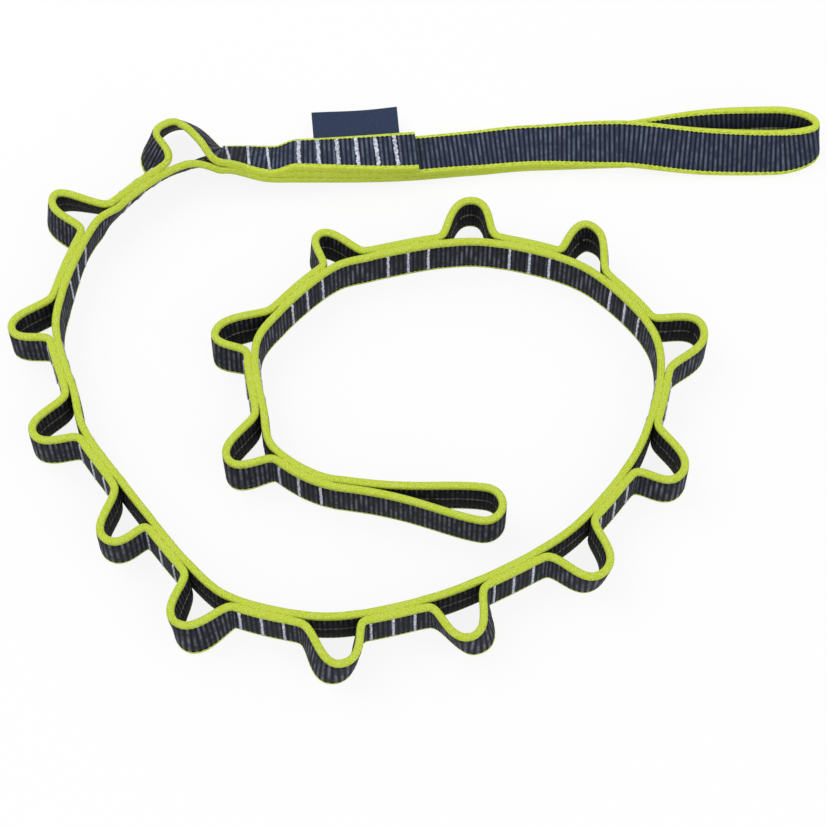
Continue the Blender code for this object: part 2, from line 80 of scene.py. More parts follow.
@dataclass(frozen=True)
class Sizes:
    """The driving sizes of the chain in metres, as the solids have them but for the label's reach."""

    web_width: float = 20 * MM
    web_thick: float = 3 * MM
    ply_gap: float = 0.3 * MM
    tack_length: float = 28.5 * MM
    mouth_length: float = 20 * MM
    splice_length: float = 66.2 * MM
    strap_length: float = 81.4 * MM
    girth_length: float = 85 * MM
    end_loop_length: float = 66 * MM
    pocket_depth: float = 19.5 * MM
    girth_opening: float = 12.9 * MM
    end_loop_opening: float = 14.5 * MM
    bar_pitch: float = 8.6 * MM
    bar_height: float = 0.4 * MM
    bar_edge: float = 2.2 * MM
    bar_margin: float = 5.9 * MM
    splice_bar_pitch: float = 8.3 * MM
    cut_end_setback: float = 5 * MM
    ramp_length: float = 5 * MM
    label_length: float = 37 * MM
    label_reach: float = 13.8 * MM
    label_thick: float = 0.6 * MM
    label_rise: float = 1 * MM
    bars_in_group: int = 3
    bars_in_splice: int = 6

    @property
    def ply_step(self) -> float:
        """Distance between the middles of two plies that lie together."""
        return self.web_thick + self.ply_gap


@dataclass(frozen=True)
class Layout:
    """How the chain lies: headings, turns and leans in degrees, and shares of its lengths."""

    start_heading: float = 180.5
    strap_turn: float = 5.8
    splice_turn: float = -1.2
    first_tack_turn: float = -6.7
    strap_middle_share: float = 0.44
    first_tack_share: float = 0.771
    end_loop_turn: float = 20
    girth_front: float = 142
    girth_back: float = 163
    girth_tip: float = 185.5
    girth_root: float = 114
    strap_middle: float = 93.6
    splice: float = 86.5
    first_tack: float = 68
    falling: tuple[float, ...] = (52, 29, 22, 8)
    girth_bend: float = 1.2
    end_loop_bend: float = -2
    stacked_share: float = 0.6
    girth_parting: float = 0.78
    end_loop_parting: float = 1.5
    sewn_share: float = 0.7
    root_handle_share: float = 0.30
    far_handle_share: float = 0.20
    tip_handle_share: float = 0.42
    mouth_hurry: float = 1.6
    girth_nose: float = 2.6
    flare_way: float = -16
    flare_fade: float = 0.5
    gap_hurry: float = 4


@dataclass(frozen=True)
class Pocket:
    """One pocket and the sewn stretch after it, as turns in degrees and shares of the driving lengths.

    The hurry is how much sooner than the mouth's the pocket's lean changes, the flare is how much more
    it leans where it faces the flare's way, and the far root is how far past the mouth the pocket joins
    the main strand.
    """

    mouth_turn: float
    tack_turn: float
    mouth_share: float
    tack_share: float
    tip_share: float
    depth_share: float
    tip_lean: float
    width_share: float = 1.0
    tilt_along: float = 0.0
    tilt_out: float = 0.0
    hurry: float = 1.0
    flare: float = 0.0
    far_root: float = 3 * MM


POCKET_SHARES = (
    Pocket(17.6, 27.9, 1.26, 0.96, 0.82, 1.08, 24, 1.5, 4, 14, hurry=2.2, flare=11, far_root=1 * MM),
    Pocket(10.5, 19.6, 0.88, 1.145, 0.80, 1.17, 20, 1.3, hurry=0.6, far_root=2 * MM),
    Pocket(13, 21, 0.84, 0.97, 0.94, 0.95, 10, 1.05),
    Pocket(-2, 19, 0.94, 0.97, 0.80, 1.02, 10, 1.08),
    Pocket(2, 2, 1.04, 0.91, 0.84, 0.98, 15, 1.05),
    Pocket(11, 25, 1.06, 0.98, 0.66, 1.10, 0, 1.1, -13, -3),
    Pocket(15, 13, 1.07, 0.97, 0.70, 1.03, 10, 1.1, 11, 0),
    Pocket(8, 7, 1.08, 0.97, 0.62, 1.05, 0, 1.1, -14, 0),
    Pocket(10, 13, 1.14, 0.94, 0.62, 1.08, 5, 1.15, 0, 10),
    Pocket(12, 13, 1.09, 0.91, 0.42, 1.06, -10, 1.15),
    Pocket(24, 30, 1.08, 0.97, 0.74, 1.10, 0, 1.2),
    Pocket(18, 17, 0.98, 0.97, 0.82, 1.02, 0, 1.2, 8, 0),
    Pocket(14, 13, 1.05, 1.19, 0.54, 1.07, 0, 1.15),
    Pocket(7, 25, 0.75, 1.08, 1.05, 0.89, 10, 1.1, -5, 0),
    Pocket(17, 37, 0.91, 1.01, 1.12, 0.90, 10, 1.1, -6, 3),
    Pocket(8, 46, 0.93, 1.00, 0.96, 0.99, 10, 1.1, -5, 0),
)

SIZES = Sizes()
LAYOUT = Layout()


def mix(a: Any, b: Any, share: Any) -> Any:
    """Return the value that lies at a share of the way from a to b."""
    return a + (b - a) * share


def smooth(share: Any) -> Any:
    """Return a share from 0 to 1 that starts and ends level: three squares less two cubes."""
    share = np.clip(share, 0, 1)
    return share * share * (3 - 2 * share)


def unit(vectors: np.ndarray) -> np.ndarray:
    """Return each row divided by its length."""
    return vectors / np.linalg.norm(vectors, axis=-1, keepdims=True)


def plan_ways(headings: Any) -> np.ndarray:
    """Return the level unit vectors at headings in degrees."""
    angles = np.radians(np.atleast_1d(np.asarray(headings, float)))
    return np.stack([np.cos(angles), np.sin(angles), np.zeros_like(angles)], axis=-1)


def headings_of(slopes: np.ndarray) -> np.ndarray:
    """Return the headings in degrees of level vectors."""
    return np.degrees(np.arctan2(slopes[:, 1], slopes[:, 0]))


def rest_heights(leans: np.ndarray) -> np.ndarray:
    """Return how high a leaning ply's middle is when it rests on the surface.

    The height is half the width times the lean's cosine, plus half the thickness and a bar tack's
    height times its sine.
    """
    angles = np.radians(leans)
    upright = SIZES.web_width / 2 * np.abs(np.cos(angles))
    lying = (SIZES.web_thick / 2 + SIZES.bar_height) * np.abs(np.sin(angles))
    return upright + lying


def bezier(points: np.ndarray, shares: np.ndarray) -> tuple[np.ndarray, np.ndarray]:
    """Return the points and the directions on a cubic Bezier curve.

    Args:
        points: The four control points, one in each row.
        shares: Where to read the curve, from 0 to 1.

    Returns:
        The points and the slopes, one row for each share.
    """
    s = shares[:, None]
    r = 1 - s
    weights = np.stack([r ** 3, 3 * r * r * s, 3 * r * s * s, s ** 3], axis=1)[..., 0]
    slopes = np.stack([r * r, 2 * r * s, s * s], axis=1)[..., 0]
    return weights @ points, slopes @ np.diff(points, axis=0)


@dataclass(frozen=True)
class Run:
    """A ply's line as arrays of rows: its middles, ways along, ways out of its outer face, ways to its edge.

    The form has three columns from 0 to 1: how tightly another ply is sewn to the outer face, how tightly
    one is sewn to the inner face, and how much of the thickness is pressed out.
    """

    middle: np.ndarray
    along: np.ndarray
    out: np.ndarray
    edge: np.ndarray
    form: np.ndarray

    def moved(self, out: Any) -> Run:
        """Return the run moved out of its outer face, by a number or by one for each row."""
        return replace(self, middle=self.middle + self.out * np.asarray(out, float).reshape(-1, 1))

    def turned(self) -> Run:
        """Return the same line walked the other way, with its other face outwards."""
        return Run(self.middle[::-1], -self.along[::-1], -self.out[::-1], self.edge[::-1],
                   self.form[::-1, [1, 0, 2]])

    def shifted(self, offset: np.ndarray) -> Run:
        """Return the run moved as a whole."""
        return replace(self, middle=self.middle + offset)

    def sewn(self, outer: float, inner: float, reach: float = 3.5 * MM,
             ends: tuple[bool, bool] = (True, True)) -> Run:
        """Return the run sewn to other plies, which eases off over a reach at the chosen ends."""
        lengths = self.lengths()
        start = smooth(lengths / reach) if ends[0] else 1.0
        end = smooth((lengths[-1] - lengths) / reach) if ends[1] else 1.0
        form = np.array([[outer, inner, 0.0]]) * np.broadcast_to(start * end, lengths.shape)[:, None]
        return replace(self, form=form)

    def slimmed(self, slim: np.ndarray) -> Run:
        """Return the run with that much of its thickness pressed out, one number for each row."""
        return replace(self, form=np.concatenate([self.form[:, :2], slim[:, None]], axis=1))

    def lengths(self) -> np.ndarray:
        """Return how far along the line each row lies."""
        steps = np.linalg.norm(np.diff(self.middle, axis=0), axis=1)
        return np.concatenate([[0.0], np.cumsum(steps)])

    def read(self, places: np.ndarray) -> Run:
        """Return the run at lengths along it, with its frame made square again.

        The middles and ways are read between rows, the way along is the line's own slope, and the way
        out is taken square to it.
        """
        lengths = self.lengths()

        def column(rows: np.ndarray) -> np.ndarray:
            """Read the three columns of an array at the places."""
            return np.stack([np.interp(places, lengths, rows[:, axis]) for axis in range(3)], axis=1)

        middle, out = column(self.middle), column(self.out)
        along = unit(np.gradient(middle, axis=0)) if len(places) > 2 else unit(column(self.along))
        out = unit(out - along * np.sum(out * along, axis=1, keepdims=True))
        return Run(middle, along, out, np.cross(out, along), column(self.form))

    def softened(self, reach: float, step: float = 0.25 * MM) -> Run:
        """Return the run with its kinks rounded by a bell-shaped mean over a reach, and its ends kept."""
        total = self.lengths()[-1]
        fine = self.read(np.linspace(0, total, max(int(total / step), 8)))
        half = int(3 * reach / step)
        bell = np.exp(-0.5 * (np.arange(-half, half + 1) * step / reach) ** 2)
        bell /= bell.sum()

        def mean(rows: np.ndarray) -> np.ndarray:
            """Take the mean of rows that are carried on straight past both ends."""
            before = 2 * rows[0] - rows[half:0:-1]
            after = 2 * rows[-1] - rows[-2:-half - 2:-1]
            longer = np.concatenate([before, rows, after])
            return np.stack([np.convolve(longer[:, axis], bell, "valid") for axis in range(3)], axis=1)

        middle, out = mean(fine.middle), unit(mean(fine.out))
        along = unit(np.gradient(middle, axis=0))
        out = unit(out - along * np.sum(out * along, axis=1, keepdims=True))
        return Run(middle, along, out, np.cross(out, along), np.clip(mean(fine.form), 0, 1))

    def between(self, start: float, end: float) -> Run:
        """Return the part of the run between two lengths along it."""
        lengths = self.lengths()
        inside = lengths[(lengths > start) & (lengths < end)]
        return self.read(np.concatenate([[start], inside, [end]]))


def joined(*runs: Run) -> Run:
    """Return runs joined end to end, without the rows that repeat a place."""
    names = ("middle", "along", "out", "edge", "form")
    arrays = [np.concatenate([getattr(run, name) for run in runs]) for name in names]
    steps = np.linalg.norm(np.diff(arrays[0], axis=0), axis=1)
    keep = np.concatenate([[True], steps > 0.01 * MM])
    return Run(*(array[keep] for array in arrays))


def laid(points: np.ndarray, headings: Any, leans: np.ndarray, heights: np.ndarray) -> Run:
    """Return the run over plan points, leaned from upright about the way along.

    The way out is the level side times the lean's cosine plus up times its sine, and the way to the
    edge is up times the cosine less the side times the sine.
    """
    headings = np.asarray(headings, float)
    along, side = plan_ways(headings), plan_ways(headings - 90)
    cosine = np.cos(np.radians(leans))[:, None]
    sine = np.sin(np.radians(leans))[:, None]
    middle = points * LEVEL + UP * np.asarray(heights)[:, None]
    return Run(middle, along, side * cosine + UP * sine, UP * cosine - side * sine, np.zeros_like(middle))


@dataclass(frozen=True)
class Stretch:
    """A stretch of the main strand between two roots, as a smooth plan curve with a changing lean."""

    start: np.ndarray
    end: np.ndarray
    headings: tuple[float, float]
    leans: tuple[float, float]
    hurry: float

    @property
    def length(self) -> float:
        """The straight distance between the roots."""
        return float(np.linalg.norm(self.end - self.start))

    @property
    def points(self) -> np.ndarray:
        """The curve's four control points, which are a third of its length from its ends."""
        first, last = plan_ways(self.headings)
        reach = self.length / 3
        return np.array([self.start, self.start + first * reach, self.end - last * reach, self.end])

    def leans_at(self, shares: np.ndarray) -> np.ndarray:
        """Return the webbing's lean at shares of the stretch."""
        return mix(self.leans[0], self.leans[1], smooth(shares * self.hurry))

    def run(self, shares: Any = np.linspace(0, 1, 41)) -> Run:
        """Return the main strand's line at shares of the stretch."""
        shares = np.atleast_1d(np.asarray(shares, float))
        points, slopes = bezier(self.points, shares)
        leans = self.leans_at(shares)
        return laid(points, headings_of(slopes), leans, rest_heights(leans))

    def place(self, share: float) -> Run:
        """Return the main strand's place at one share of the stretch."""
        return self.run([share])


@dataclass
class Chain:
    """The line of the main strand, from the root of the girth loop to the root of the end loop."""

    stretches: list[Stretch] = field(default_factory=list)

    def __post_init__(self) -> None:
        """Walk the stretches one after another, each turned from the last."""
        legs = [
            ("strap", SIZES.strap_length * LAYOUT.strap_middle_share, 0, LAYOUT.girth_root),
            ("strap", SIZES.strap_length * (1 - LAYOUT.strap_middle_share), LAYOUT.strap_turn,
             LAYOUT.strap_middle),
            ("splice", SIZES.splice_length, LAYOUT.splice_turn, LAYOUT.splice),
            ("tack", SIZES.tack_length * LAYOUT.first_tack_share, LAYOUT.first_tack_turn, LAYOUT.first_tack),
        ]
        falling = list(LAYOUT.falling) + [0] * 2 * len(POCKET_SHARES)
        for number, pocket in enumerate(POCKET_SHARES):
            first, second = falling[2 * number:2 * number + 2]
            legs.append(("mouth", SIZES.mouth_length * pocket.mouth_share, pocket.mouth_turn, first))
            legs.append(("tack", SIZES.tack_length * pocket.tack_share, pocket.tack_turn, second))
        ways = LAYOUT.start_heading + np.cumsum([leg[2] for leg in legs])
        steps = plan_ways(ways) * np.array([[leg[1]] for leg in legs])
        corners = np.concatenate([np.zeros((1, 3)), np.cumsum(steps, axis=0)])
        sewn = np.array([LAYOUT.sewn_share if leg[0] == "tack" else 1 - LAYOUT.sewn_share
                         for leg in legs[1:]])
        roots = np.concatenate([[ways[0]], mix(ways[:-1], ways[1:], sewn), [ways[-1] + LAYOUT.end_loop_turn]])
        leans = [leg[3] for leg in legs] + [0]
        for number, leg in enumerate(legs):
            hurry = LAYOUT.mouth_hurry if leg[0] == "mouth" else 1
            pair = (float(roots[number]), float(roots[number + 1]))
            lean_pair = (leans[number], leans[number + 1])
            self.stretches.append(Stretch(corners[number], corners[number + 1], pair, lean_pair, hurry))

    @property
    def strap(self) -> list[Stretch]:
        """The two stretches between the girth loop and the splice."""
        return self.stretches[:2]

    @property
    def splice(self) -> Stretch:
        """The stretch that is sewn through three plies."""
        return self.stretches[2]

    @property
    def tacks(self) -> list[Stretch]:
        """The sewn stretches, one before each pocket and one before the end loop."""
        return self.stretches[3::2]

    @property
    def mouths(self) -> list[Stretch]:
        """The stretches that the pockets stand on."""
        return self.stretches[4::2]

    def bend(self, stretch: Stretch, share: float) -> Run:
        """Return the place halfway between the main strand and the ply over it, where the chain bends."""
        return stretch.place(share).moved(SIZES.ply_step / 2)


def pocket_run(pocket: Pocket, mouth: Stretch, after: Stretch, count: int = 60) -> Run:
    """Return the outer ply's line round a pocket, in two curves that meet at its tip.

    Each half is a cubic Bezier in plan, from a root to the tip. The ply leans as the mouth does, less
    the pocket's tilts, which grow to the tip as a sine, plus the flare, which fades out 60 degrees from
    its way and at the roots as a squared sine. It stands off the main strand by as much as the falling
    lean would bring them together.

    Args:
        pocket: The pocket's turns and shares.
        mouth: The stretch of main strand under it.
        after: The sewn stretch after it, on which the far root lies.
        count: How many places each half has.

    Returns:
        The line from the near root to the far one.
    """
    near, far = mouth.place(0), after.place(pocket.far_root / after.length)
    start = near.moved(SIZES.ply_step).middle[0] * LEVEL
    end = far.moved(SIZES.ply_step).middle[0] * LEVEL
    chord = mouth.end - mouth.start
    length = mouth.length
    heading = float(headings_of(chord[None])[0])
    side = plan_ways(heading - 90)[0]
    tip = mouth.start + chord * pocket.tip_share + side * (SIZES.pocket_depth * pocket.depth_share)
    root_reach, far_reach = length * LAYOUT.root_handle_share, length * LAYOUT.far_handle_share
    tip_reach = length * LAYOUT.tip_handle_share * pocket.width_share
    tip_way = plan_ways(heading + pocket.tip_lean)[0] * tip_reach
    rising = np.array([start, start + near.along[0] * root_reach, tip - tip_way, tip])
    falling = np.array([tip, tip + tip_way, end - far.along[0] * far_reach, end])
    shares = np.linspace(0, 1, count)
    parts = [bezier(rising, shares), bezier(falling, shares)]
    points = np.concatenate([parts[0][0], parts[1][0][1:]])
    slopes = np.concatenate([parts[0][1], parts[1][1][1:]])
    shares = np.concatenate([shares, 1 + shares[1:]])
    headings = headings_of(slopes)
    away = np.radians(headings - heading)
    tilt = pocket.tilt_out * np.cos(away) + pocket.tilt_along * np.sin(away)
    base = mouth.leans_at(shares)
    leans = mouth.leans_at(shares * pocket.hurry) - tilt * np.sin(np.pi * shares / 2)
    facing = np.cos(away - math.radians(LAYOUT.flare_way))
    facing = smooth((facing - LAYOUT.flare_fade) / (1 - LAYOUT.flare_fade))
    leans = leans + pocket.flare * facing * np.sin(np.pi * shares / 2) ** 2
    stacked = SIZES.ply_step * np.sin(np.radians(base))
    apart = SIZES.ply_step * (np.cos(np.radians(base)) - math.cos(math.radians(mouth.leans[0])))
    apart += np.where(apart > 0, 2 * SIZES.ply_gap, 0) * smooth(shares * LAYOUT.gap_hurry)
    points = points + plan_ways(headings - 90) * (apart * np.clip(1 - shares, 0, 1))[:, None]
    return laid(points, headings, leans, rest_heights(leans) + stacked)


@dataclass(frozen=True)
class Loop:
    """A loop that leaves on one ply and comes back on the other.

    The leans are those at the root and at the end of the side that goes, then at the tip's middle, then
    at the start of the side that comes back and at its root, counted on through the tip.
    """

    root: Run
    heading: float
    leans: tuple[float, float, float, float, float]
    length: float
    opening: float
    bend: float
    hand: int
    parting: float
    nose: float = 1.0
    first_share: float = 0.004

    def run(self, count: int = 120) -> Run:
        """Return the loop's line.

        The sides part by an eased power of the run along the loop, and join at the tip in half an
        ellipse that is the nose times as long as it is wide, while the loop's middle line bends steadily.
        """
        radius = self.opening / 2
        flank = self.length - radius * self.nose
        near = SIZES.ply_step / 2 * abs(math.cos(math.radians(self.leans[0])))
        stacked = SIZES.ply_step * abs(math.sin(math.radians(self.leans[0])))
        share = np.linspace(self.first_share, 1, count)
        eased = share ** self.parting
        spread = mix(near, radius, smooth(eased))
        steep = 6 * eased * (1 - eased) * self.parting * share ** (self.parting - 1)
        slope = np.degrees(np.arctan((radius - near) * steep / flank))
        lift = stacked * (1 - smooth(share / LAYOUT.stacked_share))
        round_share = np.linspace(0, 1, count)[1:-1]
        angle = np.pi * round_share
        round_lean = mix(self.leans[2], np.where(round_share < 1 / 2, self.leans[1], self.leans[3]),
                         np.abs(2 * round_share - 1))
        back = slice(None, None, -1)
        coming_lean = mix(self.leans[4], self.leans[3], smooth(share))
        tip = flank + radius * self.nose * np.sin(angle)
        runs = np.concatenate([flank * share, tip, (flank * share)[back]])
        across = np.concatenate([spread, radius * np.cos(angle), -spread[back]])
        tip_turns = np.degrees(np.arctan2(np.sin(angle), self.nose * np.cos(angle)))
        turns = np.concatenate([-slope, tip_turns, (180 + slope)[back]])
        going_lean = mix(self.leans[0], self.leans[1], smooth(share))
        leans = np.concatenate([going_lean, round_lean, coming_lean[back]])
        lifts = np.concatenate([np.zeros(count), np.zeros(count - 2), lift[back]])
        ways = self.heading + self.bend * runs / self.length
        middle = self.root.middle[0] * LEVEL
        middle = middle + plan_ways(self.heading + self.bend * runs / self.length / 2) * runs[:, None]
        points = middle + plan_ways(ways - 90) * (across * self.hand)[:, None]
        return laid(points, ways + turns * self.hand, leans, rest_heights(leans) + lifts)


def add_mesh(name: str, verts: np.ndarray, quads: np.ndarray, caps: Sequence[Sequence[int]],
             corner_uv: np.ndarray | None, material: bpy.types.Material) -> bpy.types.Object:
    """Put arrays into a new mesh object at the origin.

    Args:
        name: The piece's name.
        verts: One row for each point, in metres.
        quads: One row of four point numbers for each face.
        caps: Lists of point numbers that close the piece.
        corner_uv: The map's place of each corner of the quads, or None for no map.
        material: The piece's finish.

    Returns:
        The linked object.
    """
    mesh = bpy.data.meshes.new(name)
    faces = quads.tolist() + [list(cap) for cap in caps]
    mesh.from_pydata(verts.tolist(), [], faces)
    if corner_uv is not None:
        layer = mesh.uv_layers.new(name=MAP_NAME)
        flat = np.zeros((len(mesh.loops), 2), np.float32)
        flat[:len(corner_uv)] = corner_uv
        layer.data.foreach_set("uv", flat.ravel())
    mesh.materials.append(material)
    mesh.shade_smooth()
    mesh.set_sharp_from_angle(angle=math.radians(SHARP_EDGE))
    piece = bpy.data.objects.new(name, mesh)
    bpy.context.scene.collection.objects.link(piece)
    return piece


def ring_quads(rings: int, sides: int, first: int = 0) -> np.ndarray:
    """Return the faces between rings of points that go round, as rows of four point numbers.

    A face joins point j of ring i with point j of ring i + 1, and then with point j + 1 of both, which
    makes it face outwards where the rings go round clockwise as seen from their end.
    """
    i, j = np.meshgrid(np.arange(rings - 1), np.arange(sides), indexing="ij")
    after = (j + 1) % sides
    corners = [i * sides + j, (i + 1) * sides + j, (i + 1) * sides + after, i * sides + after]
    return np.stack(corners, axis=-1).reshape(-1, 4) + first


def ring_map(along: np.ndarray, around: np.ndarray) -> np.ndarray:
    """Return the map's place of each corner of the faces between rings.

    Args:
        along: The map's first value, one for each ring.
        around: The map's second value, one for each point round and one more where the ring closes.

    Returns:
        One row for each corner, in the order of the faces.
    """
    i, j = np.meshgrid(np.arange(len(along) - 1), np.arange(len(around) - 1), indexing="ij")
    corners = [(i, j), (i + 1, j), (i + 1, j + 1), (i, j + 1)]
    places = [np.stack([along[a], around[b]], axis=-1) for a, b in corners]
    return np.stack(places, axis=2).reshape(-1, 2)


def ring_caps(rings: int, sides: int, first: int = 0) -> list[list[int]]:
    """Return the two faces that close a row of rings at its start and its end."""
    start = list(range(first, first + sides))
    last = first + (rings - 1) * sides
    return [start, list(range(last + sides - 1, last - 1, -1))]


@dataclass(frozen=True)
class WebbingSkin:
    """The woven surface of the webbing: its section, ribs across its faces and plump selvedges.

    Attributes:
        rib_pitch: Distance from one rib of the weave to the next.
        rib_height: How far a rib stands out of the face.
        selvedge_reach: How far the lime selvedge comes onto the faces from the edge.
        selvedge_swell: How far the selvedge stands out of the face.
        groove: Depth of the dip between the selvedge and the face.
        round_reach: How much of the edge is rounded.
        samples: Rows of points for each rib, and points round a rounded edge.
        pick_height: Height of the selvedge's small bumps.
        pick_start: Where across the half width they start, from 0 to 1.
        pick_rise: How steeply they rise from there.
        pick_side: How much of their height they have sideways.
        rib_spread: The least and the greatest height of a rib, as shares of rib_height.
        edge_power: The power of the superellipse at the edge.
        groove_places: Where the groove starts, is deepest and ends, as shares of selvedge_reach.
        rib_rise: How high a rib stands at each point from the groove's deepest place to the middle.
        face_places: Where the face has further points, as shares of the half width.
        seam_notch: Depth of the notch between the selvedges of two plies that are sewn together.
        notch_power: How sharply the notch sets in.
        press: How much of its half thickness a sewn ply loses on its free side.
    """

    rib_pitch: float = 2.03 * MM
    rib_height: float = 0.24 * MM
    selvedge_reach: float = 2.1 * MM
    selvedge_swell: float = 0.10 * MM
    groove: float = 0.18 * MM
    round_reach: float = 1.45 * MM
    samples: int = 6
    pick_height: float = 0.06 * MM
    pick_start: float = 0.8
    pick_rise: float = 5
    pick_side: float = 0.6
    rib_spread: tuple[float, float] = (0.5, 1.2)
    edge_power: float = 2.6
    groove_places: tuple[float, ...] = (1.0, 1.18, 1.4)
    face_places: tuple[float, ...] = (0.45, 0.0)
    rib_rise: tuple[float, ...] = (0.0, 0.3, 1.0, 1.0, 1.0)
    seam_notch: float = 0.10 * MM
    notch_power: float = 6
    press: float = 0.14

    def section(self) -> tuple[np.ndarray, np.ndarray, np.ndarray, np.ndarray]:
        """Return the section's points, free and sewn, how far round it each lies, and its part of the rib.

        Half of the outline runs over the outer face from the middle of the bottom selvedge to the
        middle of the top one. Its rounded ends are quarters of a superellipse. In the sewn
        section they go straight out to the seam instead, halfway to the next ply.
        """
        half_width, half_thick = SIZES.web_width / 2, SIZES.web_thick / 2
        swollen = half_thick + self.selvedge_swell
        share = np.linspace(0, 1, self.samples)
        angle = np.radians(90 * (1 - share))
        power = 2 / self.edge_power
        round_edge = half_width - self.round_reach + self.round_reach * np.sin(angle) ** power
        round_out = swollen * np.cos(angle) ** power
        flat_edge = half_width - np.array(self.groove_places) * self.selvedge_reach
        flat_out = np.array([half_thick, half_thick - self.groove, half_thick])
        face_edge, face_out = half_width * np.array(self.face_places), [half_thick] * len(self.face_places)
        rib = np.concatenate([np.zeros(self.samples), self.rib_rise])

        def outline(first_edge: np.ndarray, first_out: np.ndarray) -> np.ndarray:
            """Carry a quarter of the outline, which starts with these points, round the section."""
            upper_edge = np.concatenate([first_edge, flat_edge, face_edge])
            upper_out = np.concatenate([first_out, flat_out, face_out])
            edge = np.concatenate([-upper_edge, upper_edge[-2::-1]])
            out = np.concatenate([upper_out, upper_out[-2::-1]])
            return np.stack([np.concatenate([out, -out[-2:0:-1]]),
                             np.concatenate([edge, edge[-2:0:-1]])], axis=1)

        free = outline(round_edge, round_out)
        sewn = outline(half_width - self.seam_notch * share ** self.notch_power, SIZES.ply_step / 2 * share)
        ribs = np.concatenate([rib, rib[-2::-1]])
        ribs = np.concatenate([ribs, -ribs[-2:0:-1]])
        steps = np.linalg.norm(np.diff(np.concatenate([free, free[:1]]), axis=0), axis=1)
        reach = np.concatenate([[0.0], np.cumsum(steps)]) / steps.sum()
        return free, sewn, reach, ribs

    def perimeter(self) -> float:
        """Return the distance round the free section."""
        points = self.section()[0]
        return float(np.linalg.norm(np.diff(np.concatenate([points, points[:1]]), axis=0), axis=1).sum())

    def cover(self, name: str, run: Run, material: bpy.types.Material) -> bpy.types.Object:
        """Carry the section along a run as a closed skin whose ribs fit its length.

        Each rib is a parabola along the run, one for each whole pitch, times a seeded height, and the
        selvedge has two small bumps for each rib. A side is mixed from its free and its sewn section by
        how tightly it is sewn, and the side across from a sewn one is pressed in. The map holds ribs
        along and the share round the section across, and webbing_sewn holds how tightly a row is sewn.

        Args:
            name: The piece's name.
            run: The line of the ply's middle.
            material: The webbing's finish.

        Returns:
            The new piece.
        """
        total = run.lengths()[-1]
        ribs = max(round(total / self.rib_pitch), 1)
        rows = ribs * self.samples + 1
        fine = run.read(np.linspace(0, total, rows))
        free, sewn, reach, take = self.section()
        phase = np.arange(rows) / self.samples % 1
        tall = np.random.default_rng(ribs).uniform(*self.rib_spread, ribs + 1)
        tall = tall[np.arange(rows) // self.samples]
        crest = (1 - (2 * phase - 1) ** 2) * tall
        pick = 1 - (2 * (2 * phase % 1) - 1) ** 2
        outer = free[None, :, 0] > 0
        here = np.where(outer, fine.form[:, :1], fine.form[:, 1:2])
        across = np.where(outer, fine.form[:, 1:2], fine.form[:, :1])
        edge_share = np.clip(np.abs(free[:, 1]) / (SIZES.web_width / 2), 0, 1)
        picked = smooth((edge_share - self.pick_start) * self.pick_rise)
        on_selvedge = np.where(take == 0, picked, 0.0)
        bump = pick[:, None] * on_selvedge[None, :] * self.pick_height
        plump = 1 + bump / (SIZES.web_thick / 2) * (1 - here)
        out = mix(free[:, 0], sewn[:, 0], here) * (1 - self.press * across * (1 - here)) * plump
        out = (out + crest[:, None] * take * self.rib_height * (1 - here)) * (1 - fine.form[:, 2:])
        edge = mix(free[:, 1], sewn[:, 1], here) + np.sign(free[:, 1]) * bump * self.pick_side
        verts = (fine.middle[:, None, :] + fine.out[:, None, :] * out[..., None]
                 + fine.edge[:, None, :] * edge[..., None])
        sides = len(free)
        quads = ring_quads(rows, sides)
        corners = ring_map(np.arange(rows) / self.samples, reach)
        piece = add_mesh(name, verts.reshape(-1, 3), quads, ring_caps(rows, sides), corners, material)
        layer = piece.data.attributes.new(SEWN_NAME, "FLOAT", "POINT")
        layer.data.foreach_set("value", np.repeat(fine.form[:, :2].max(axis=1), sides).astype(np.float32))
        return piece


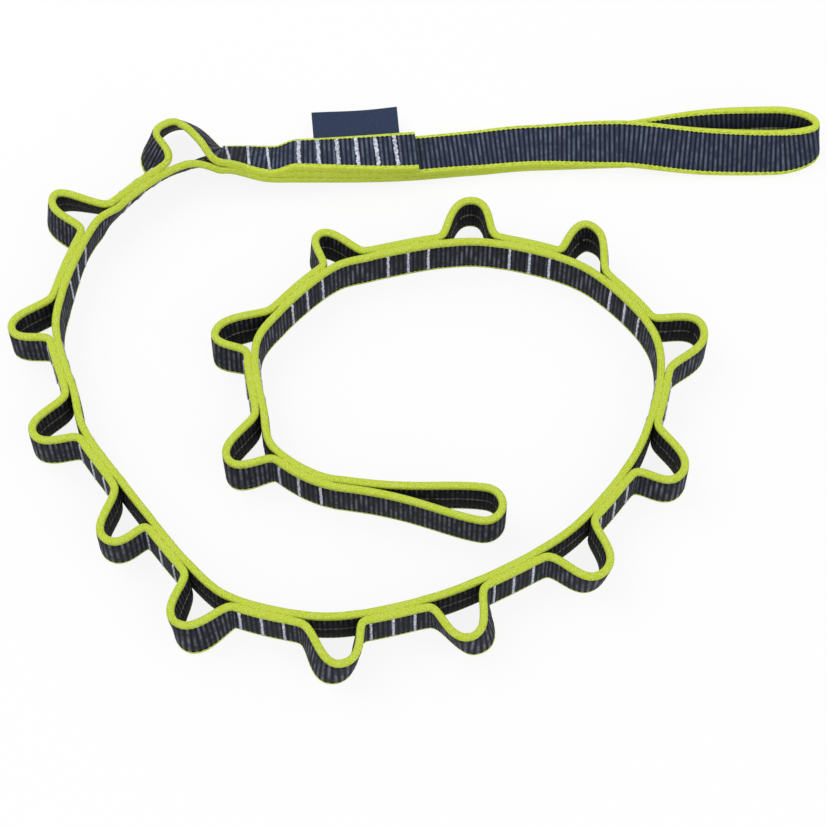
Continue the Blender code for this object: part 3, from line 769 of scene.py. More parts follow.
@dataclass(frozen=True)
class BarTack:
    """One bar of dense zigzag stitches across the webbing.

    Attributes:
        half_width: Half the bar's mean width along the webbing.
        ragged: How far the ends of the stitches stand past that width.
        stitch: Distance from one stitch to the next.
        dome: Height of the bar's middle above the face.
        sunk: How far its underside lies below the face.
        overrun: How far the bar runs onto the selvedge.
        end_round: How far past the bar's end its rounding would close.
        end_power: How late the bar's height falls off towards its ends.
        end_least: The square of the least share of its height there.
        crown_power: How full the bar's section is.
        dip: How much of the height is lost between stitches.
        saw: How far the stitches' ends, their jitter, the whole bar's sway and an inset move its sides,
            as shares of ragged.
        samples: Rows of points for each stitch.
        crown: Points over the top.
    """

    half_width: float = 0.42 * MM
    ragged: float = 0.32 * MM
    stitch: float = 0.62 * MM
    dome: float = 0.36 * MM
    sunk: float = 0.45 * MM
    overrun: float = 0.35 * MM
    end_round: float = 0.1 * MM
    end_power: float = 10
    end_least: float = 0.02
    crown_power: float = 0.8
    dip: float = 0.38
    saw: tuple[float, float, float, float] = (0.75, 0.35, 0.45, 0.2)
    samples: int = 5
    crown: int = 7

    def rings(self, place: Run, side: float, seed: int) -> np.ndarray:
        """Return the rings of points of one bar, carried from edge to edge of the dark face.

        The half width is a saw of the distance across the webbing plus a seeded jitter, and the top is
        half an ellipse whose height dips between stitches.

        Args:
            place: The ply's place under the middle of the bar.
            side: 1 on the outer face, -1 on the inner one.
            seed: Which jitter the bar has.

        Returns:
            An array of rings by points by 3.
        """
        random = np.random.default_rng(seed)
        reach = SIZES.web_width / 2 - SIZES.bar_edge + self.overrun
        stitches = round(2 * reach / self.stitch)
        rows = stitches * self.samples + 1
        across = np.linspace(-reach, reach, rows)
        phase = np.arange(rows) / self.samples
        crest = np.abs(np.sin(np.pi * phase))
        knots = np.arange(stitches + 2)
        jitter = np.interp(phase, knots, random.uniform(-1, 1, stitches + 2))
        sway = np.interp(phase, knots, random.uniform(-1, 1, stitches + 2))
        teeth, uneven, swing, inset = self.saw
        half = self.half_width + self.ragged * (teeth * crest + uneven * jitter - inset)
        drift = self.ragged * swing * sway
        past = (np.abs(across) / (reach + self.end_round)) ** self.end_power
        end = np.sqrt(np.clip(1 - past, self.end_least, 1))
        angle = np.pi * np.linspace(0, 1, self.crown)
        along = drift[:, None] + half[:, None] * np.cos(angle)[None, :]
        height = self.dome * (1 - self.dip + self.dip * crest) * end
        out = height[:, None] * np.sin(angle)[None, :] ** self.crown_power
        along = np.concatenate([along, along[:, -1:], along[:, :1]], axis=1)
        out = np.concatenate([out, np.full((rows, 2), -self.sunk)], axis=1)
        out = SIZES.web_thick / 2 + out
        way = place.along[0] * side
        face = place.out[0] * side
        return (place.middle[0] + way * along[..., None] + face * out[..., None]
                + place.edge[0] * across[:, None, None])

    def group(self, name: str, bars: Sequence[np.ndarray], material: bpy.types.Material) -> bpy.types.Object:
        """Make one piece of several bars, each a closed solid."""
        verts, quads, caps, first = [], [], [], 0
        for rings in bars:
            rows, sides = rings.shape[:2]
            verts.append(rings.reshape(-1, 3))
            quads.append(ring_quads(rows, sides, first))
            caps += ring_caps(rows, sides, first)
            first += rows * sides
        return add_mesh(name, np.concatenate(verts), np.concatenate(quads), caps, None, material)


class Socket:
    """An output of a shader node, on which sums can be written as Python expressions."""

    def __init__(self, graph: Graph, socket: bpy.types.NodeSocket) -> None:
        """Keep the graph and the output."""
        self.graph = graph
        self.socket = socket

    def maths(self, operation: str, *others: Any) -> Socket:
        """Return a Math node's result on this value and others."""
        return self.graph.node("ShaderNodeMath", {"operation": operation}, [self, *others])

    def __add__(self, other: Any) -> Socket:
        """Add a value."""
        return self.maths("ADD", other)

    def __sub__(self, other: Any) -> Socket:
        """Take a value away."""
        return self.maths("SUBTRACT", other)

    def __mul__(self, other: Any) -> Socket:
        """Multiply by a value."""
        return self.maths("MULTIPLY", other)

    def __rsub__(self, other: Any) -> Socket:
        """Take this from a value."""
        return self.graph.node("ShaderNodeMath", {"operation": "SUBTRACT"}, [other, self])

    __radd__ = __add__
    __rmul__ = __mul__

    def __abs__(self) -> Socket:
        """Drop the sign."""
        return self.maths("ABSOLUTE")

    def part(self) -> Socket:
        """Return what is past the last whole number."""
        return self.maths("FRACT")

    def floor(self) -> Socket:
        """Return the last whole number."""
        return self.maths("FLOOR")

    def least(self, other: Any) -> Socket:
        """Return the lesser of two values."""
        return self.maths("MINIMUM", other)

    def most(self, other: Any) -> Socket:
        """Return the greater of two values."""
        return self.maths("MAXIMUM", other)

    def beside(self, output: str | int) -> Socket:
        """Return another output of the same node."""
        return Socket(self.graph, self.socket.node.outputs[output])

    def step(self, low: float | Socket, high: float | Socket) -> Socket:
        """Return 0 below low, 1 above high, and a smooth rise between."""
        return self.graph.node("ShaderNodeMapRange", {"interpolation_type": "SMOOTHSTEP"},
                               {"Value": self, "From Min": low, "From Max": high})


class Graph:
    """The node tree of one material."""

    def __init__(self, name: str) -> None:
        """Start a material with one Principled shader."""
        self.material = bpy.data.materials.new(name)
        self.material.use_nodes = True
        self.tree = self.material.node_tree
        self.shader = self.tree.nodes["Principled BSDF"]

    def node(self, kind: str, settings: dict[str, Any], values: Any = (), output: str | int = 0) -> Socket:
        """Add a node.

        Args:
            kind: The node's type.
            settings: Its own settings, which are set first.
            values: What goes into its sockets, as a list in order or as a dictionary by name.
            output: Which output to return.

        Returns:
            The chosen output.
        """
        node = self.tree.nodes.new(kind)
        for key, value in settings.items():
            setattr(node, key, value)
        pairs = values.items() if isinstance(values, dict) else enumerate(values)
        for key, value in pairs:
            self.put(node.inputs[key], value)
        return Socket(self, node.outputs[output])

    def put(self, target: bpy.types.NodeSocket, value: Any) -> None:
        """Link a socket to an input, or write a plain value on it."""
        if isinstance(value, Socket):
            self.tree.links.new(value.socket, target)
        else:
            target.default_value = value

    def blend(self, share: Any, first: Any, second: Any) -> Socket:
        """Return a colour between two, by a share."""
        return self.node("ShaderNodeMix", {"data_type": "RGBA", "blend_type": "MIX"},
                         {"Factor": share, 6: first, 7: second}, 2)

    def scaled(self, colour: Any, factor: Any) -> Socket:
        """Return a colour or vector times a number."""
        return self.node("ShaderNodeVectorMath", {"operation": "SCALE"}, {0: colour, "Scale": factor})

    def noise(self, where: Any, scale: float, detail: float = 2.0) -> Socket:
        """Return a noise value at a vector."""
        return self.node("ShaderNodeTexNoise", {"noise_dimensions": "3D"},
                         {"Vector": where, "Scale": scale, "Detail": detail})

    def vector(self, x: Any, y: Any, z: Any = 0.0) -> Socket:
        """Return a vector of three values."""
        return self.node("ShaderNodeCombineXYZ", {}, [x, y, z])

    def finish(self, colour: Any, roughness: Any, height: Any = None, depth: float = 1.0, lift: float = 0.0,
               sheen: float = 0.0) -> bpy.types.Material:
        """Feed the shader.

        Args:
            colour: The base colour.
            roughness: The roughness.
            height: What the bump reads, or None.
            depth: The bump's strength.
            lift: The bump's height in metres.
            sheen: The weight of the soft fuzz of fibres.

        Returns:
            The material.
        """
        self.put(self.shader.inputs["Base Color"], colour)
        self.put(self.shader.inputs["Roughness"], roughness)
        for name, value in (("Specular IOR Level", 0.2), ("Sheen Weight", sheen), ("Sheen Roughness", 0.5)):
            self.shader.inputs[name].default_value = value
        if height is not None:
            bump = self.node("ShaderNodeBump", {}, {"Strength": depth, "Distance": lift, "Height": height})
            self.put(self.shader.inputs["Normal"], bump)
        return self.material


@dataclass(frozen=True)
class WebbingFinish:
    """The colours of the weave: a dark ribbed face between lime selvedges, with a dashed tracer inside.

    The shares and strengths from inner_shade_share on go from 0 to 1, the scallop is in millimetres, and the
    roughness is the selvedge's and how much more the face has.
    """

    name: str
    rib: Colour
    # Pale on random ribs, which also stands in for a painted highlight along their crests.
    rib_tone_and_highlight: Colour
    # Painted shade: the near-black face in the gaps between ribs.
    rib_gap_shade: Colour
    tone_and_highlight_share: float
    sewn_share: float
    lime: Colour = (0.500, 0.610, 0.008, 1)
    lime_light: Colour = (0.610, 0.710, 0.160, 1)
    lime_dark: Colour = (0.320, 0.430, 0.003, 1)
    seam: Colour = (0.110, 0.160, 0.006, 1)
    # Painted shade in the dip between the selvedge and the face.
    groove: Colour = (0.008, 0.010, 0.009, 1)
    tracer: Colour = (0.460, 0.480, 0.340, 1)
    # Painted shade: how bright the inner face is painted against the outer one.
    inner_shade_share: float = 0.45
    round_share: float = 0.42
    scallop: float = 0.42
    dash_place: float = 0.75
    dash_light: float = 0.8
    groove_shade: float = 0.7
    dark_threads: float = 0.6
    seam_threads: float = 0.8
    roughness: tuple[float, float] = (0.70, 0.14)
    bump: float = 0.6
    bump_height: float = 0.14 * MM
    sheen: float = 0.02

    def material(self, skin: WebbingSkin) -> bpy.types.Material:
        """Build the material on the webbing's own map.

        Args:
            skin: The skin whose sizes the pattern follows.

        Returns:
            The material.
        """
        graph = Graph(self.name)
        place = graph.node("ShaderNodeUVMap", {"uv_map": MAP_NAME})
        sewn = graph.node("ShaderNodeAttribute", {"attribute_name": SEWN_NAME}, output="Fac")
        ribs = graph.node("ShaderNodeSeparateXYZ", {}, [place])
        around = ribs.beside(1)
        across = around * (skin.perimeter() / MM)
        along = ribs * (skin.rib_pitch / MM)
        from_top = abs(around - 0.5)
        distance = from_top.least(0.5 - from_top) * (skin.perimeter() / MM)
        crest = 1 - abs(ribs.part() * 2 - 1)
        width = (skin.selvedge_reach + skin.round_reach * self.round_share) / MM
        border = crest * self.scallop + (width - 0.05)
        on_face = distance.step(border - 0.12, border + 0.12)
        in_groove = on_face * (1 - distance.step(border + 0.10, border + 0.70))
        fine = graph.noise(graph.vector(along, across), 1.5, 3.0)
        speckle = graph.noise(graph.vector(along, across * 1.2, 7.0), 1.6, 1.5)
        patches = graph.noise(graph.vector(along, across, 3.0), 0.45, 2.0)
        own = graph.noise(graph.vector(ribs.floor() * 3.7, around * 5.0), 1.0, 2.0)
        threads = graph.noise(graph.vector(ribs * 11.0, around * 26.0), 1.0, 1.0)
        # Painted shade: the face darkens from each rib's crest into the near-black gap, a little less on sewn
        # plies.
        shade = crest.step(0.1, 0.75)
        # Pale random ribs with a painted highlight along their crests, weaker on sewn plies.
        light = (own * 0.65 + patches * 0.35).step(0.40, 0.66) * crest.step(0.3, 0.95)
        light = light * self.tone_and_highlight_share * (1 - sewn * self.sewn_share)
        face = graph.blend(shade * (1 - sewn * self.sewn_share * 0.5), self.rib_gap_shade, self.rib)
        face = graph.blend(light, face, self.rib_tone_and_highlight)
        inner = around.step(0.5, 0.501)
        # Thread texture, and painted shade that darkens the inner face.
        face = graph.scaled(face, (threads * 0.9 + 0.55) * (1 - inner * (1 - self.inner_shade_share)))
        centre = 1 - abs(around - self.dash_place + (patches - 0.5) * 0.012).step(0.008, 0.016)
        dashes = centre * inner * (crest.step(0.1, 0.5) * 0.7 + 0.3) * own.step(0.30, 0.50)
        face = graph.blend(dashes * self.dash_light, face, self.tracer)
        scale = abs((ribs * 2.0 + across * 0.55).part() * 2 - 1)
        lime = graph.blend(speckle.step(0.40, 0.66), self.lime, self.lime_light)
        lime = graph.blend((1 - fine.step(0.33, 0.5)) * self.dark_threads, lime, self.lime_dark)
        lime = graph.scaled(lime, scale * 0.14 + 0.90)
        arch = 1 - abs((ribs * 0.5).part() * 2 - 1)
        on_arch = 1 - abs(distance - (2.5 - arch * 0.5)).step(0.05, 0.22)
        stitch = on_arch * arch.step(0.35, 0.6) * own.step(0.3, 0.6)
        lime = graph.blend(stitch * self.seam_threads, lime, self.seam)
        colour = graph.blend(on_face, lime, face)
        # Painted shade darkens the dip beside the selvedge.
        colour = graph.blend(in_groove * self.groove_shade, colour, self.groove)
        height = scale * (1 - on_face) * 0.5 + speckle * 0.5 + threads * on_face * 0.6
        rough = on_face * self.roughness[1] + self.roughness[0]
        return graph.finish(colour, rough, height, self.bump, self.bump_height, self.sheen)


CHAIN_FINISH = WebbingFinish("chain_weave", (0.022, 0.025, 0.037, 1), (0.225, 0.220, 0.295, 1),
                             (0.004, 0.005, 0.008, 1), 0.8, 0.65)
STRAP_FINISH = WebbingFinish("strap_weave", (0.035, 0.047, 0.086, 1), (0.150, 0.180, 0.260, 1),
                             (0.007, 0.009, 0.018, 1), 0.75, 0.0,
                             (0.560, 0.680, 0.009, 1), (0.680, 0.780, 0.170, 1), (0.360, 0.480, 0.003, 1))


@dataclass(frozen=True)
class ThreadFinish:
    """The white thread of the bar tacks."""

    pale: Colour = (0.70, 0.73, 0.82, 1)
    # A shaded copy of the pale thread, for painted shade.
    shaded: Colour = (0.34, 0.36, 0.45, 1)
    strand_scale: float = 2600.0
    shade_scale: float = 900.0

    def material(self) -> bpy.types.Material:
        """Build the thread's material, with fine strands on Object coordinates."""
        graph = Graph("stitching_thread")
        where = graph.node("ShaderNodeTexCoord", {}, output="Object")
        strands = graph.noise(where, self.strand_scale, 2.0)
        shade_noise = graph.noise(where, self.shade_scale, 1.0)
        # Painted shade: the pale thread is mixed with a shaded copy by a coarse noise.
        colour = graph.blend(shade_noise.step(0.35, 0.6), self.shaded, self.pale)
        return graph.finish(colour, 0.6, strands, 0.5, 0.08 * MM, 0.1)


@dataclass(frozen=True)
class LabelFinish:
    """The plain navy damask of the label."""

    navy: Colour = (0.013, 0.027, 0.070, 1)
    light: Colour = (0.022, 0.040, 0.096, 1)

    def material(self) -> bpy.types.Material:
        """Build the label's material: a fine twill on its map, which is in millimetres."""
        graph = Graph("label_damask")
        place = graph.node("ShaderNodeUVMap", {"uv_map": MAP_NAME})
        along = graph.node("ShaderNodeSeparateXYZ", {}, [place])
        reach = along.beside(1)
        twill = abs(((along + reach * 0.8) * 2.6).part() * 2 - 1)
        threads = abs((along * 5.0).part() * 2 - 1)
        mottle = graph.noise(graph.vector(along, reach), 0.9, 3.0)
        share = mottle.step(0.3, 0.75) * 0.6 + twill * 0.25
        colour = graph.blend(share, self.navy, self.light)
        return graph.finish(colour, 0.55, twill * 0.6 + threads * 0.4, 0.5, 0.05 * MM, 0.15)


class Ply(Enum):
    """Which of the two plies of the sewn stretches a line follows."""

    MAIN = 0
    OUTER = 1


@dataclass
class Builder:
    """What every sub-assembly needs: the chain's line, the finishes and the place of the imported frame."""

    chain: Chain
    skin: WebbingSkin
    chain_web: bpy.types.Material
    strap_web: bpy.types.Material
    thread: bpy.types.Material
    offset: np.ndarray
    bend_reach: float = 4 * MM
    made: int = 0

    def cover(self, name: str, run: Run, strap: bool = False) -> bpy.types.Object:
        """Cover a run with webbing in the frame's place, count the piece and log its faces."""
        material = self.strap_web if strap else self.chain_web
        piece = self.skin.cover(name, run.shifted(self.offset), material)
        self.made += 1
        LOG.info("%s: %d faces", name, len(piece.data.polygons))
        return piece

    def across(self, piece: bpy.types.Object, bodies: tuple[str, str], bend: Run, way: float = 1.0) -> None:
        """Work out the ends of the bend, which are not used, and bake the piece's place into its mesh.

        Args:
            piece: The finished piece.
            bodies: The bodies before and after the bend. Not used.
            bend: The place of the bend.
            way: 1 where the second body lies ahead along the chain, -1 where it lies behind.
        """
        middle = bend.middle[0] + self.offset
        reach = bend.along[0] * (self.bend_reach * way)
        tuple(middle - reach)
        tuple(middle + reach)
        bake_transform(piece)

    def sewn(self, stretch: Stretch, ply: Ply) -> Run:
        """Return one ply's line along a sewn stretch, sewn to the other ply."""
        line = stretch.run().moved(SIZES.ply_step * ply.value)
        return line.sewn(1 - ply.value, ply.value)

    def half(self, run: Run, second: bool) -> Run:
        """Return the first or the second half of a run."""
        total = run.lengths()[-1]
        return run.between(total / 2, total) if second else run.between(0, total / 2)


def body_of(number: int) -> str:
    """Return the body that carries the sewn stretch of that number, counted from 0."""
    if number == 0:
        return "splice"
    return "end_loop" if number == len(POCKET_SHARES) else f"unit_{number + 1:02d}"


@dataclass
class PocketRow:
    """The pockets and the main strand under them, from the first sewn stretch to the last."""

    builder: Builder
    root_reach: float = 7 * MM
    root_end: float = 2.5 * MM
    kink_reach: float = 0.9 * MM

    def build(self) -> None:
        """Cover each pocket, the stretch of main strand under it and the root after it."""
        chain, builder = self.builder.chain, self.builder
        for number, pocket in enumerate(POCKET_SHARES):
            label = f"{number + 1:02d}"
            before, mouth, after = chain.tacks[number], chain.mouths[number], chain.tacks[number + 1]
            bodies = body_of(number), body_of(number + 1)
            bend = chain.bend(mouth, 1)
            first = builder.half(builder.sewn(before, Ply.MAIN), True)
            last = builder.half(builder.sewn(after, Ply.MAIN), False)
            main = joined(first, mouth.run(), last).softened(self.kink_reach).turned()
            piece = builder.cover(f"main_webbing_{label}", main)
            builder.across(piece, bodies, bend)
            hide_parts(f"main_strand_{label}")
            first = builder.half(builder.sewn(before, Ply.OUTER), True)
            last = builder.half(builder.sewn(after, Ply.OUTER), False)
            last = last.between(pocket.far_root, last.lengths()[-1])
            outer = joined(first, pocket_run(pocket, mouth, after), last).softened(self.kink_reach)
            total = outer.lengths()[-1]
            root = total - last.lengths()[-1]
            split = root - self.root_reach
            piece = builder.cover(f"pocket_webbing_{label}", outer.between(0, split))
            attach(piece, bodies[0])
            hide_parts(f"pocket_{label}")
            piece = builder.cover(f"root_webbing_{label}", outer.between(split, total))
            ends = outer.read(np.array([split, root + self.root_end])).middle + builder.offset
            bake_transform(piece)


@dataclass
class EndLoop:
    """The small loop that the webbing turns back through, with the last sewn stretch."""

    builder: Builder
    kink_reach: float = 0.9 * MM

    def build(self) -> None:
        """Cover the loop, from the middle of the last sewn stretch and back to it."""
        chain, builder = self.builder.chain, self.builder
        tack = chain.tacks[-1]
        root = tack.place(1).moved(SIZES.ply_step / 2)
        loop = Loop(root, tack.headings[1], (0, 0, 0, 0, 0), SIZES.end_loop_length, SIZES.end_loop_opening,
                    LAYOUT.end_loop_bend, 1, LAYOUT.end_loop_parting).run()
        going = builder.half(builder.sewn(tack, Ply.OUTER), True)
        coming = builder.half(builder.sewn(tack, Ply.MAIN), True).turned()
        piece = builder.cover("end_webbing", joined(going, loop, coming).softened(self.kink_reach))
        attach(piece, "end_loop")
        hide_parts("end_loop")


@dataclass
class GirthStrap:
    """The girth loop, the strap and the splice that its end is sewn into."""

    builder: Builder
    kink_reach: float = 1.6 * MM
    tightness: float = 0.85
    wedge_share: float = 0.85
    thinnest: float = 0.9
    wedge_delay: float = 0.1
    ramp_length: float = 10 * MM
    free_rows: int = 10
    under_rows: int = 120
    top_rows: int = 160

    @property
    def ramp(self) -> float:
        """Where along the splice the outer ply starts to come down."""
        return SIZES.splice_length - self.ramp_length

    def down(self, shares: np.ndarray) -> np.ndarray:
        """Return how far the outer ply has come down at shares of the splice, from 0 to 1."""
        return smooth((shares * SIZES.splice_length - self.ramp) / self.ramp_length)

    def build(self) -> None:
        """Cover the loop with half of the strap, then the rest of each ply on to the first sewn stretch.

        Where the outer ply comes down past the end of the ply that turns back, that end is a wedge: the
        part pressed out of it follows the way down, and it stays on the ply below.
        """
        chain, builder = self.builder.chain, self.builder
        first, second = chain.strap
        splice, tack = chain.splice, chain.tacks[0]
        step, tight = SIZES.ply_step, self.tightness
        root = chain.bend(first, 0)
        leans = (-LAYOUT.girth_root, -LAYOUT.girth_back, -LAYOUT.girth_tip,
                 LAYOUT.girth_front - 360, LAYOUT.girth_root - 360)
        loop = Loop(root, LAYOUT.start_heading + 180, leans, SIZES.girth_length, SIZES.girth_opening,
                    LAYOUT.girth_bend, -1, LAYOUT.girth_parting, LAYOUT.girth_nose).run()
        below = first.run().sewn(tight, 0, ends=(True, False)).turned()
        above = first.run().moved(step).sewn(0, tight, ends=(True, False))
        piece = builder.cover("girth_webbing", joined(below, loop, above).softened(self.kink_reach), True)
        builder.across(piece, ("strap", "girth_loop"), root, -1)
        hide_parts("girth_loop")
        start = builder.half(builder.sewn(tack, Ply.MAIN).sewn(1, 0, ends=(False, True)), False)
        line = joined(second.run(), splice.run()).sewn(tight, 0, ends=(False, False))
        line = joined(line, start).softened(self.kink_reach)
        piece = builder.cover("strap_lower_webbing", line.turned(), True)
        builder.across(piece, ("strap", "splice"), chain.bend(splice, 0))
        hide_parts("strap_lower_ply", "splice_main_ply")
        wedge = self.ramp + self.ramp_length * self.wedge_share
        shares = np.linspace(SIZES.cut_end_setback, wedge, self.under_rows) / SIZES.splice_length
        slim = (1 + self.wedge_delay) * self.down(shares) - self.wedge_delay
        slim = np.clip(slim, 0, self.thinnest)
        under = splice.run(shares).moved(step - slim * SIZES.web_thick / 2)
        under = under.sewn(tight, tight, ends=(False, False)).slimmed(slim)
        free = np.linspace(0, SIZES.cut_end_setback / SIZES.splice_length, self.free_rows)
        line = joined(second.run().moved(step), splice.run(free).moved(step))
        line = joined(line.sewn(0, tight, ends=(False, False)), under)
        piece = builder.cover("strap_upper_webbing", line.softened(self.kink_reach / 2), True)
        builder.across(piece, ("strap", "splice"), chain.bend(splice, 0))
        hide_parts("strap_upper_ply", "splice_return_ply")
        shares = np.linspace(SIZES.cut_end_setback / SIZES.splice_length, 1, self.top_rows)
        top = splice.run(shares).moved(step * (2 - self.down(shares)))
        top = top.sewn(0, tight, ends=(False, False))
        start = builder.half(builder.sewn(tack, Ply.OUTER).sewn(0, 1, ends=(False, True)), False)
        line = joined(top, start).softened(self.kink_reach / 2)
        piece = builder.cover("splice_outer_webbing", line, True)
        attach(piece, "splice")
        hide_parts("splice_outer_ply")


@dataclass
class Stitching:
    """The bar tacks: three over each sewn stretch and six over the splice, seen on both sides."""

    builder: Builder
    bar: BarTack
    splice_bar: BarTack
    first_skew: float = 8
    seed_step: int = 10
    splice_seed: int = 500

    def build(self) -> None:
        """Add one piece of bars for each sewn stretch and one for the splice."""
        builder, chain = self.builder, self.builder.chain
        for number, tack in enumerate(chain.tacks):
            shares = [0.5 + (bar - (SIZES.bars_in_group - 1) / 2) * SIZES.bar_pitch / tack.length
                      for bar in range(SIZES.bars_in_group)]
            self.group(f"bar_tacks_{number + 1:02d}", tack, shares, 1, self.bar, self.seed_step * number,
                       body_of(number), 0 if number else self.first_skew)
        ramp = SIZES.splice_length - SIZES.ramp_length
        runs = [ramp - SIZES.bar_margin - bar * SIZES.splice_bar_pitch for bar in range(SIZES.bars_in_splice)]
        shares = [run / SIZES.splice_length for run in runs]
        self.group("splice_bar_tacks", chain.splice, shares, 2, self.splice_bar, self.splice_seed, "splice")
        LOG.info("bar tacks on %d sewn stretches, skins so far %d", len(chain.tacks) + 1, builder.made)

    def group(self, name: str, stretch: Stretch, shares: Sequence[float], plies: int, bar: BarTack,
              seed: int, body: str, skew: float = 0.0) -> None:
        """Add the bars of one stretch on its two outer faces.

        Args:
            name: The piece's name.
            stretch: The sewn stretch.
            shares: Where each bar's middle lies along it.
            plies: How many plies lie over the main strand.
            bar: The kind of bar.
            seed: The first bar's jitter.
            body: What the piece moves with.
            skew: How far each bar is turned in its face, in degrees.
        """
        builder = self.builder
        bars = []
        cosine, sine = math.cos(math.radians(skew)), math.sin(math.radians(skew))
        for number, share in enumerate(shares):
            place = stretch.place(share).shifted(builder.offset)
            place = replace(place, along=place.along * cosine + place.edge * sine,
                            edge=place.edge * cosine - place.along * sine)
            above = place.moved(SIZES.ply_step * plies)
            bars.append(bar.rings(above, 1, seed + number))
            bars.append(bar.rings(place, -1, seed + number + len(shares)))
        piece = bar.group(name, bars, builder.thread)
        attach(piece, body)


@dataclass
class Label:
    """The woven label, a folded flap without any mark on it."""

    hinge: np.ndarray
    along: np.ndarray
    rim: np.ndarray
    finish: LabelFinish
    wave: float = 0.6 * MM
    wave_turns: float = 0.75
    wave_start: float = 0.5
    wave_power: float = 1.5
    askew: float = -3.5
    slip: float = 0.8 * MM
    clear: float = 0.35 * MM
    bend_reach: float = 3.5 * MM
    rows: int = 90
    columns: int = 26

    def build(self) -> None:
        """Carry the flap's flat section along its sewn edge.

        The section goes out over the top, round the fold and back below, and the whole is lifted by the
        rise times the square of the reach, plus a slow wave along the fold that grows with the reach.
        The flap is sewn on a little askew, as the photograph shows it, but its root keeps to the
        webbing's rim: each row starts a little way out from the rim.
        """
        way = math.degrees(math.atan2(self.along[1], self.along[0])) + self.askew
        self.along = plan_ways(way)[0]
        self.hinge = self.hinge + self.along * self.slip
        side = np.array([self.along[1], -self.along[0], 0.0])
        half_thick = SIZES.label_thick / 2
        out_share = np.linspace(0, 1, self.columns)
        fold = np.radians(np.linspace(90, -90, 7))[1:-1]
        reach = np.concatenate([out_share * (SIZES.label_reach - half_thick),
                                SIZES.label_reach - half_thick + half_thick * np.cos(fold),
                                out_share[::-1] * (SIZES.label_reach - half_thick)])
        height = np.concatenate([np.full(self.columns, half_thick), half_thick * np.sin(fold),
                                 np.full(self.columns, -half_thick)])
        share = reach / SIZES.label_reach
        run = np.linspace(SIZES.label_length / 2, -SIZES.label_length / 2, self.rows)
        places = (self.rim - self.hinge) @ self.along
        order = np.argsort(places)
        root = self.clear + np.interp(run, places[order], ((self.rim - self.hinge) @ side)[order])
        reach_rows = reach[None, :] + root[:, None] * (1 - share[None, :])
        turn = run / SIZES.label_length * 2 * np.pi
        lift = (SIZES.label_rise * share ** 2)[None, :]
        wave = np.cos(turn * self.wave_turns + self.wave_start)[:, None]
        lift = lift + self.wave * (wave * -share[None, :] ** self.wave_power)
        verts = (self.hinge + self.along * run[:, None, None] + side * reach_rows[..., None]
                 + UP * (height[None, :] + lift)[..., None])
        sides = len(reach)
        quads = ring_quads(self.rows, sides)
        section = np.stack([reach, height], axis=1)
        steps = np.linalg.norm(np.diff(section, axis=0, append=section[:1]), axis=1)
        round_reach = np.concatenate([[0], np.cumsum(steps)]) / MM
        piece = add_mesh("label_flap", verts.reshape(-1, 3), quads, ring_caps(self.rows, sides),
                         ring_map(run / MM, round_reach), self.finish.material())
        tuple(self.hinge + side * self.clear)
        tuple(self.hinge + side * self.bend_reach)
        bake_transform(piece)
        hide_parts("label")
        LOG.info("label_flap: %d faces", len(piece.data.polygons))


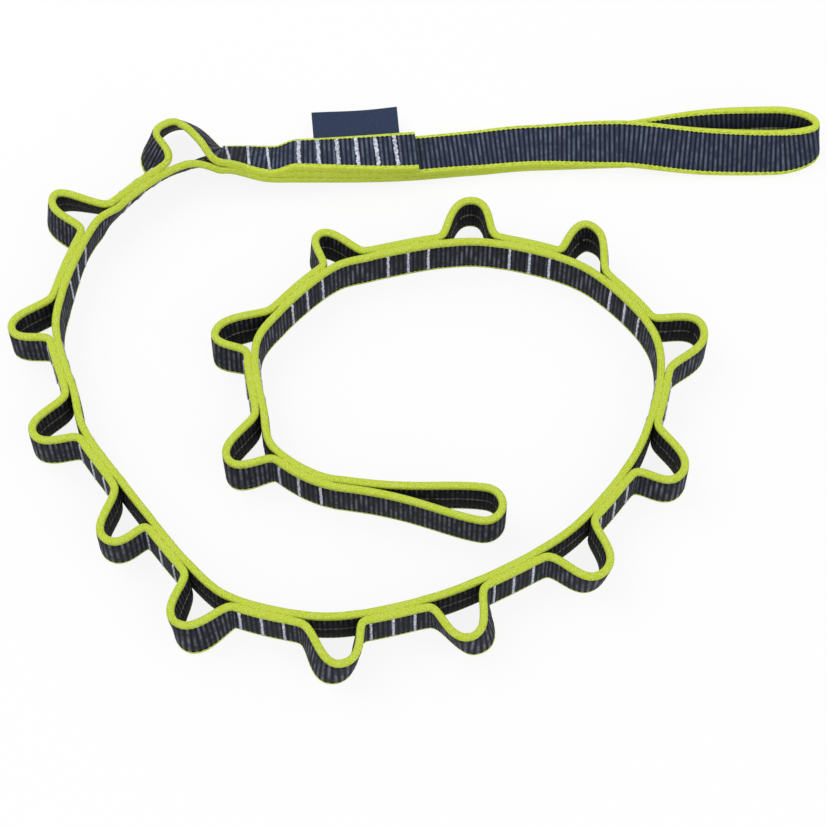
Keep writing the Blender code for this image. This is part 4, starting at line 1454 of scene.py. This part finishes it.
@dataclass(frozen=True)
class Studio:
    """The camera, the pale floor and the soft light."""

    lens: float = 113.33
    sensor: float = 36.0
    camera_place: tuple[float, float, float] = (-0.00529, -0.50084, 0.945)
    depression: float = 62.7
    sight: float = 20
    floor_drop: float = 0.3 * MM
    floor_size: float = 6.0
    floor_glow: float = 0.88
    floor_grey: float = 0.9
    floor_roughness: float = 0.9
    room_light: float = 0.70
    lamps: tuple[tuple[str, tuple[float, float, float], float, float], ...] = (
        ("key_lamp", (-0.9, 0.5, 1.5), 1.2, 11),
        ("fill_lamp", (1.1, -0.9, 1.3), 1.4, 8),
    )

    def build(self) -> None:
        """Add the camera, the floor, the world's light and two soft lamps."""
        self.add_camera()
        self.add_floor()
        self.add_world()
        for lamp in self.lamps:
            self.add_lamp(*lamp)
        bpy.context.scene.view_settings.view_transform = "Standard"

    def add_camera(self) -> None:
        """Put the camera where the photograph was taken from."""
        data = bpy.data.cameras.new("camera")
        data.lens = self.lens
        data.sensor_width = self.sensor
        data.clip_end = self.sight
        camera = bpy.data.objects.new("camera", data)
        camera.location = self.camera_place
        camera.rotation_euler = (math.radians(90 - self.depression), 0, 0)
        bpy.context.scene.collection.objects.link(camera)
        bpy.context.scene.camera = camera

    def add_floor(self) -> None:
        """Lay a white floor that keeps a faint shadow and shows white to the camera."""
        half = self.floor_size / 2
        mesh = bpy.data.meshes.new("floor")
        corners = [(-half, -half, -self.floor_drop), (half, -half, -self.floor_drop),
                   (half, half, -self.floor_drop), (-half, half, -self.floor_drop)]
        mesh.from_pydata(corners, [], [(0, 1, 2, 3)])
        floor = bpy.data.objects.new("floor", mesh)
        bpy.context.scene.collection.objects.link(floor)
        graph = Graph("floor_white")
        graph.shader.inputs["Base Color"].default_value = (self.floor_grey,) * 3 + (1,)
        graph.shader.inputs["Roughness"].default_value = self.floor_roughness
        glow = graph.node("ShaderNodeEmission", {}, {"Color": (1, 1, 1, 1), "Strength": 1.0})
        ray = graph.node("ShaderNodeLightPath", {}, output="Is Camera Ray")
        seen = ray.most(ray.beside("Is Glossy Ray")).most(ray.beside("Is Transmission Ray")) * self.floor_glow
        surface = Socket(graph, graph.shader.outputs[0])
        mixed = graph.node("ShaderNodeMixShader", {}, [seen, surface, glow])
        graph.put(graph.tree.nodes["Material Output"].inputs["Surface"], mixed)
        mesh.materials.append(graph.material)

    def add_world(self) -> None:
        """Fill the room with plain white light."""
        world = bpy.data.worlds.new("room")
        world.use_nodes = True
        background = world.node_tree.nodes["Background"]
        background.inputs["Color"].default_value = (1, 1, 1, 1)
        background.inputs["Strength"].default_value = self.room_light
        bpy.context.scene.world = world

    def add_lamp(self, name: str, place: tuple[float, float, float], size: float, power: float) -> None:
        """Add a square lamp that looks at the middle of the object."""
        data = bpy.data.lights.new(name, "AREA")
        data.size = size
        data.energy = power
        lamp = bpy.data.objects.new(name, data)
        lamp.location = place
        way = -np.array(place)
        flat = math.hypot(way[0], way[1])
        lamp.rotation_euler = (math.atan2(flat, -way[2]), 0, math.atan2(way[1], way[0]) - math.pi / 2)
        bpy.context.scene.collection.objects.link(lamp)


def joint_place(record: dict[str, Any], name: str) -> tuple[np.ndarray, np.ndarray]:
    """Return where a joint of the record is and its axis."""
    for joint in record["behaviour"]["joints"]:
        if joint["name"] == name:
            return np.array(joint["pos_m"], float), np.array(joint["axis"], float)
    raise ValueError(f"the record has no joint {name}")


def main() -> None:
    """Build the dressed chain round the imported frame."""
    logging.basicConfig(level=logging.INFO, format="%(message)s")
    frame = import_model()
    record = frame["record"]
    chain = Chain()
    middle, _ = joint_place(record, "tack_bend_08")
    offset = middle - chain.bend(chain.tacks[8], 0).middle[0]
    Studio().build()
    skin = WebbingSkin()
    builder = Builder(chain, skin, CHAIN_FINISH.material(skin), STRAP_FINISH.material(skin),
                      ThreadFinish().material(), offset)
    GirthStrap(builder).build()
    PocketRow(builder).build()
    EndLoop(builder).build()
    Stitching(builder, BarTack(), BarTack(half_width=0.58 * MM, ragged=0.52 * MM, stitch=0.8 * MM)).build()
    hinge, axis = joint_place(record, "label_lift")
    outer = chain.splice.run().moved(2 * SIZES.ply_step)
    rim = outer.middle - outer.edge * (SIZES.web_width / 2) + offset
    Label(hinge, -axis, rim, LabelFinish()).build()
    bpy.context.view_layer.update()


if __name__ == "__main__":
    main()
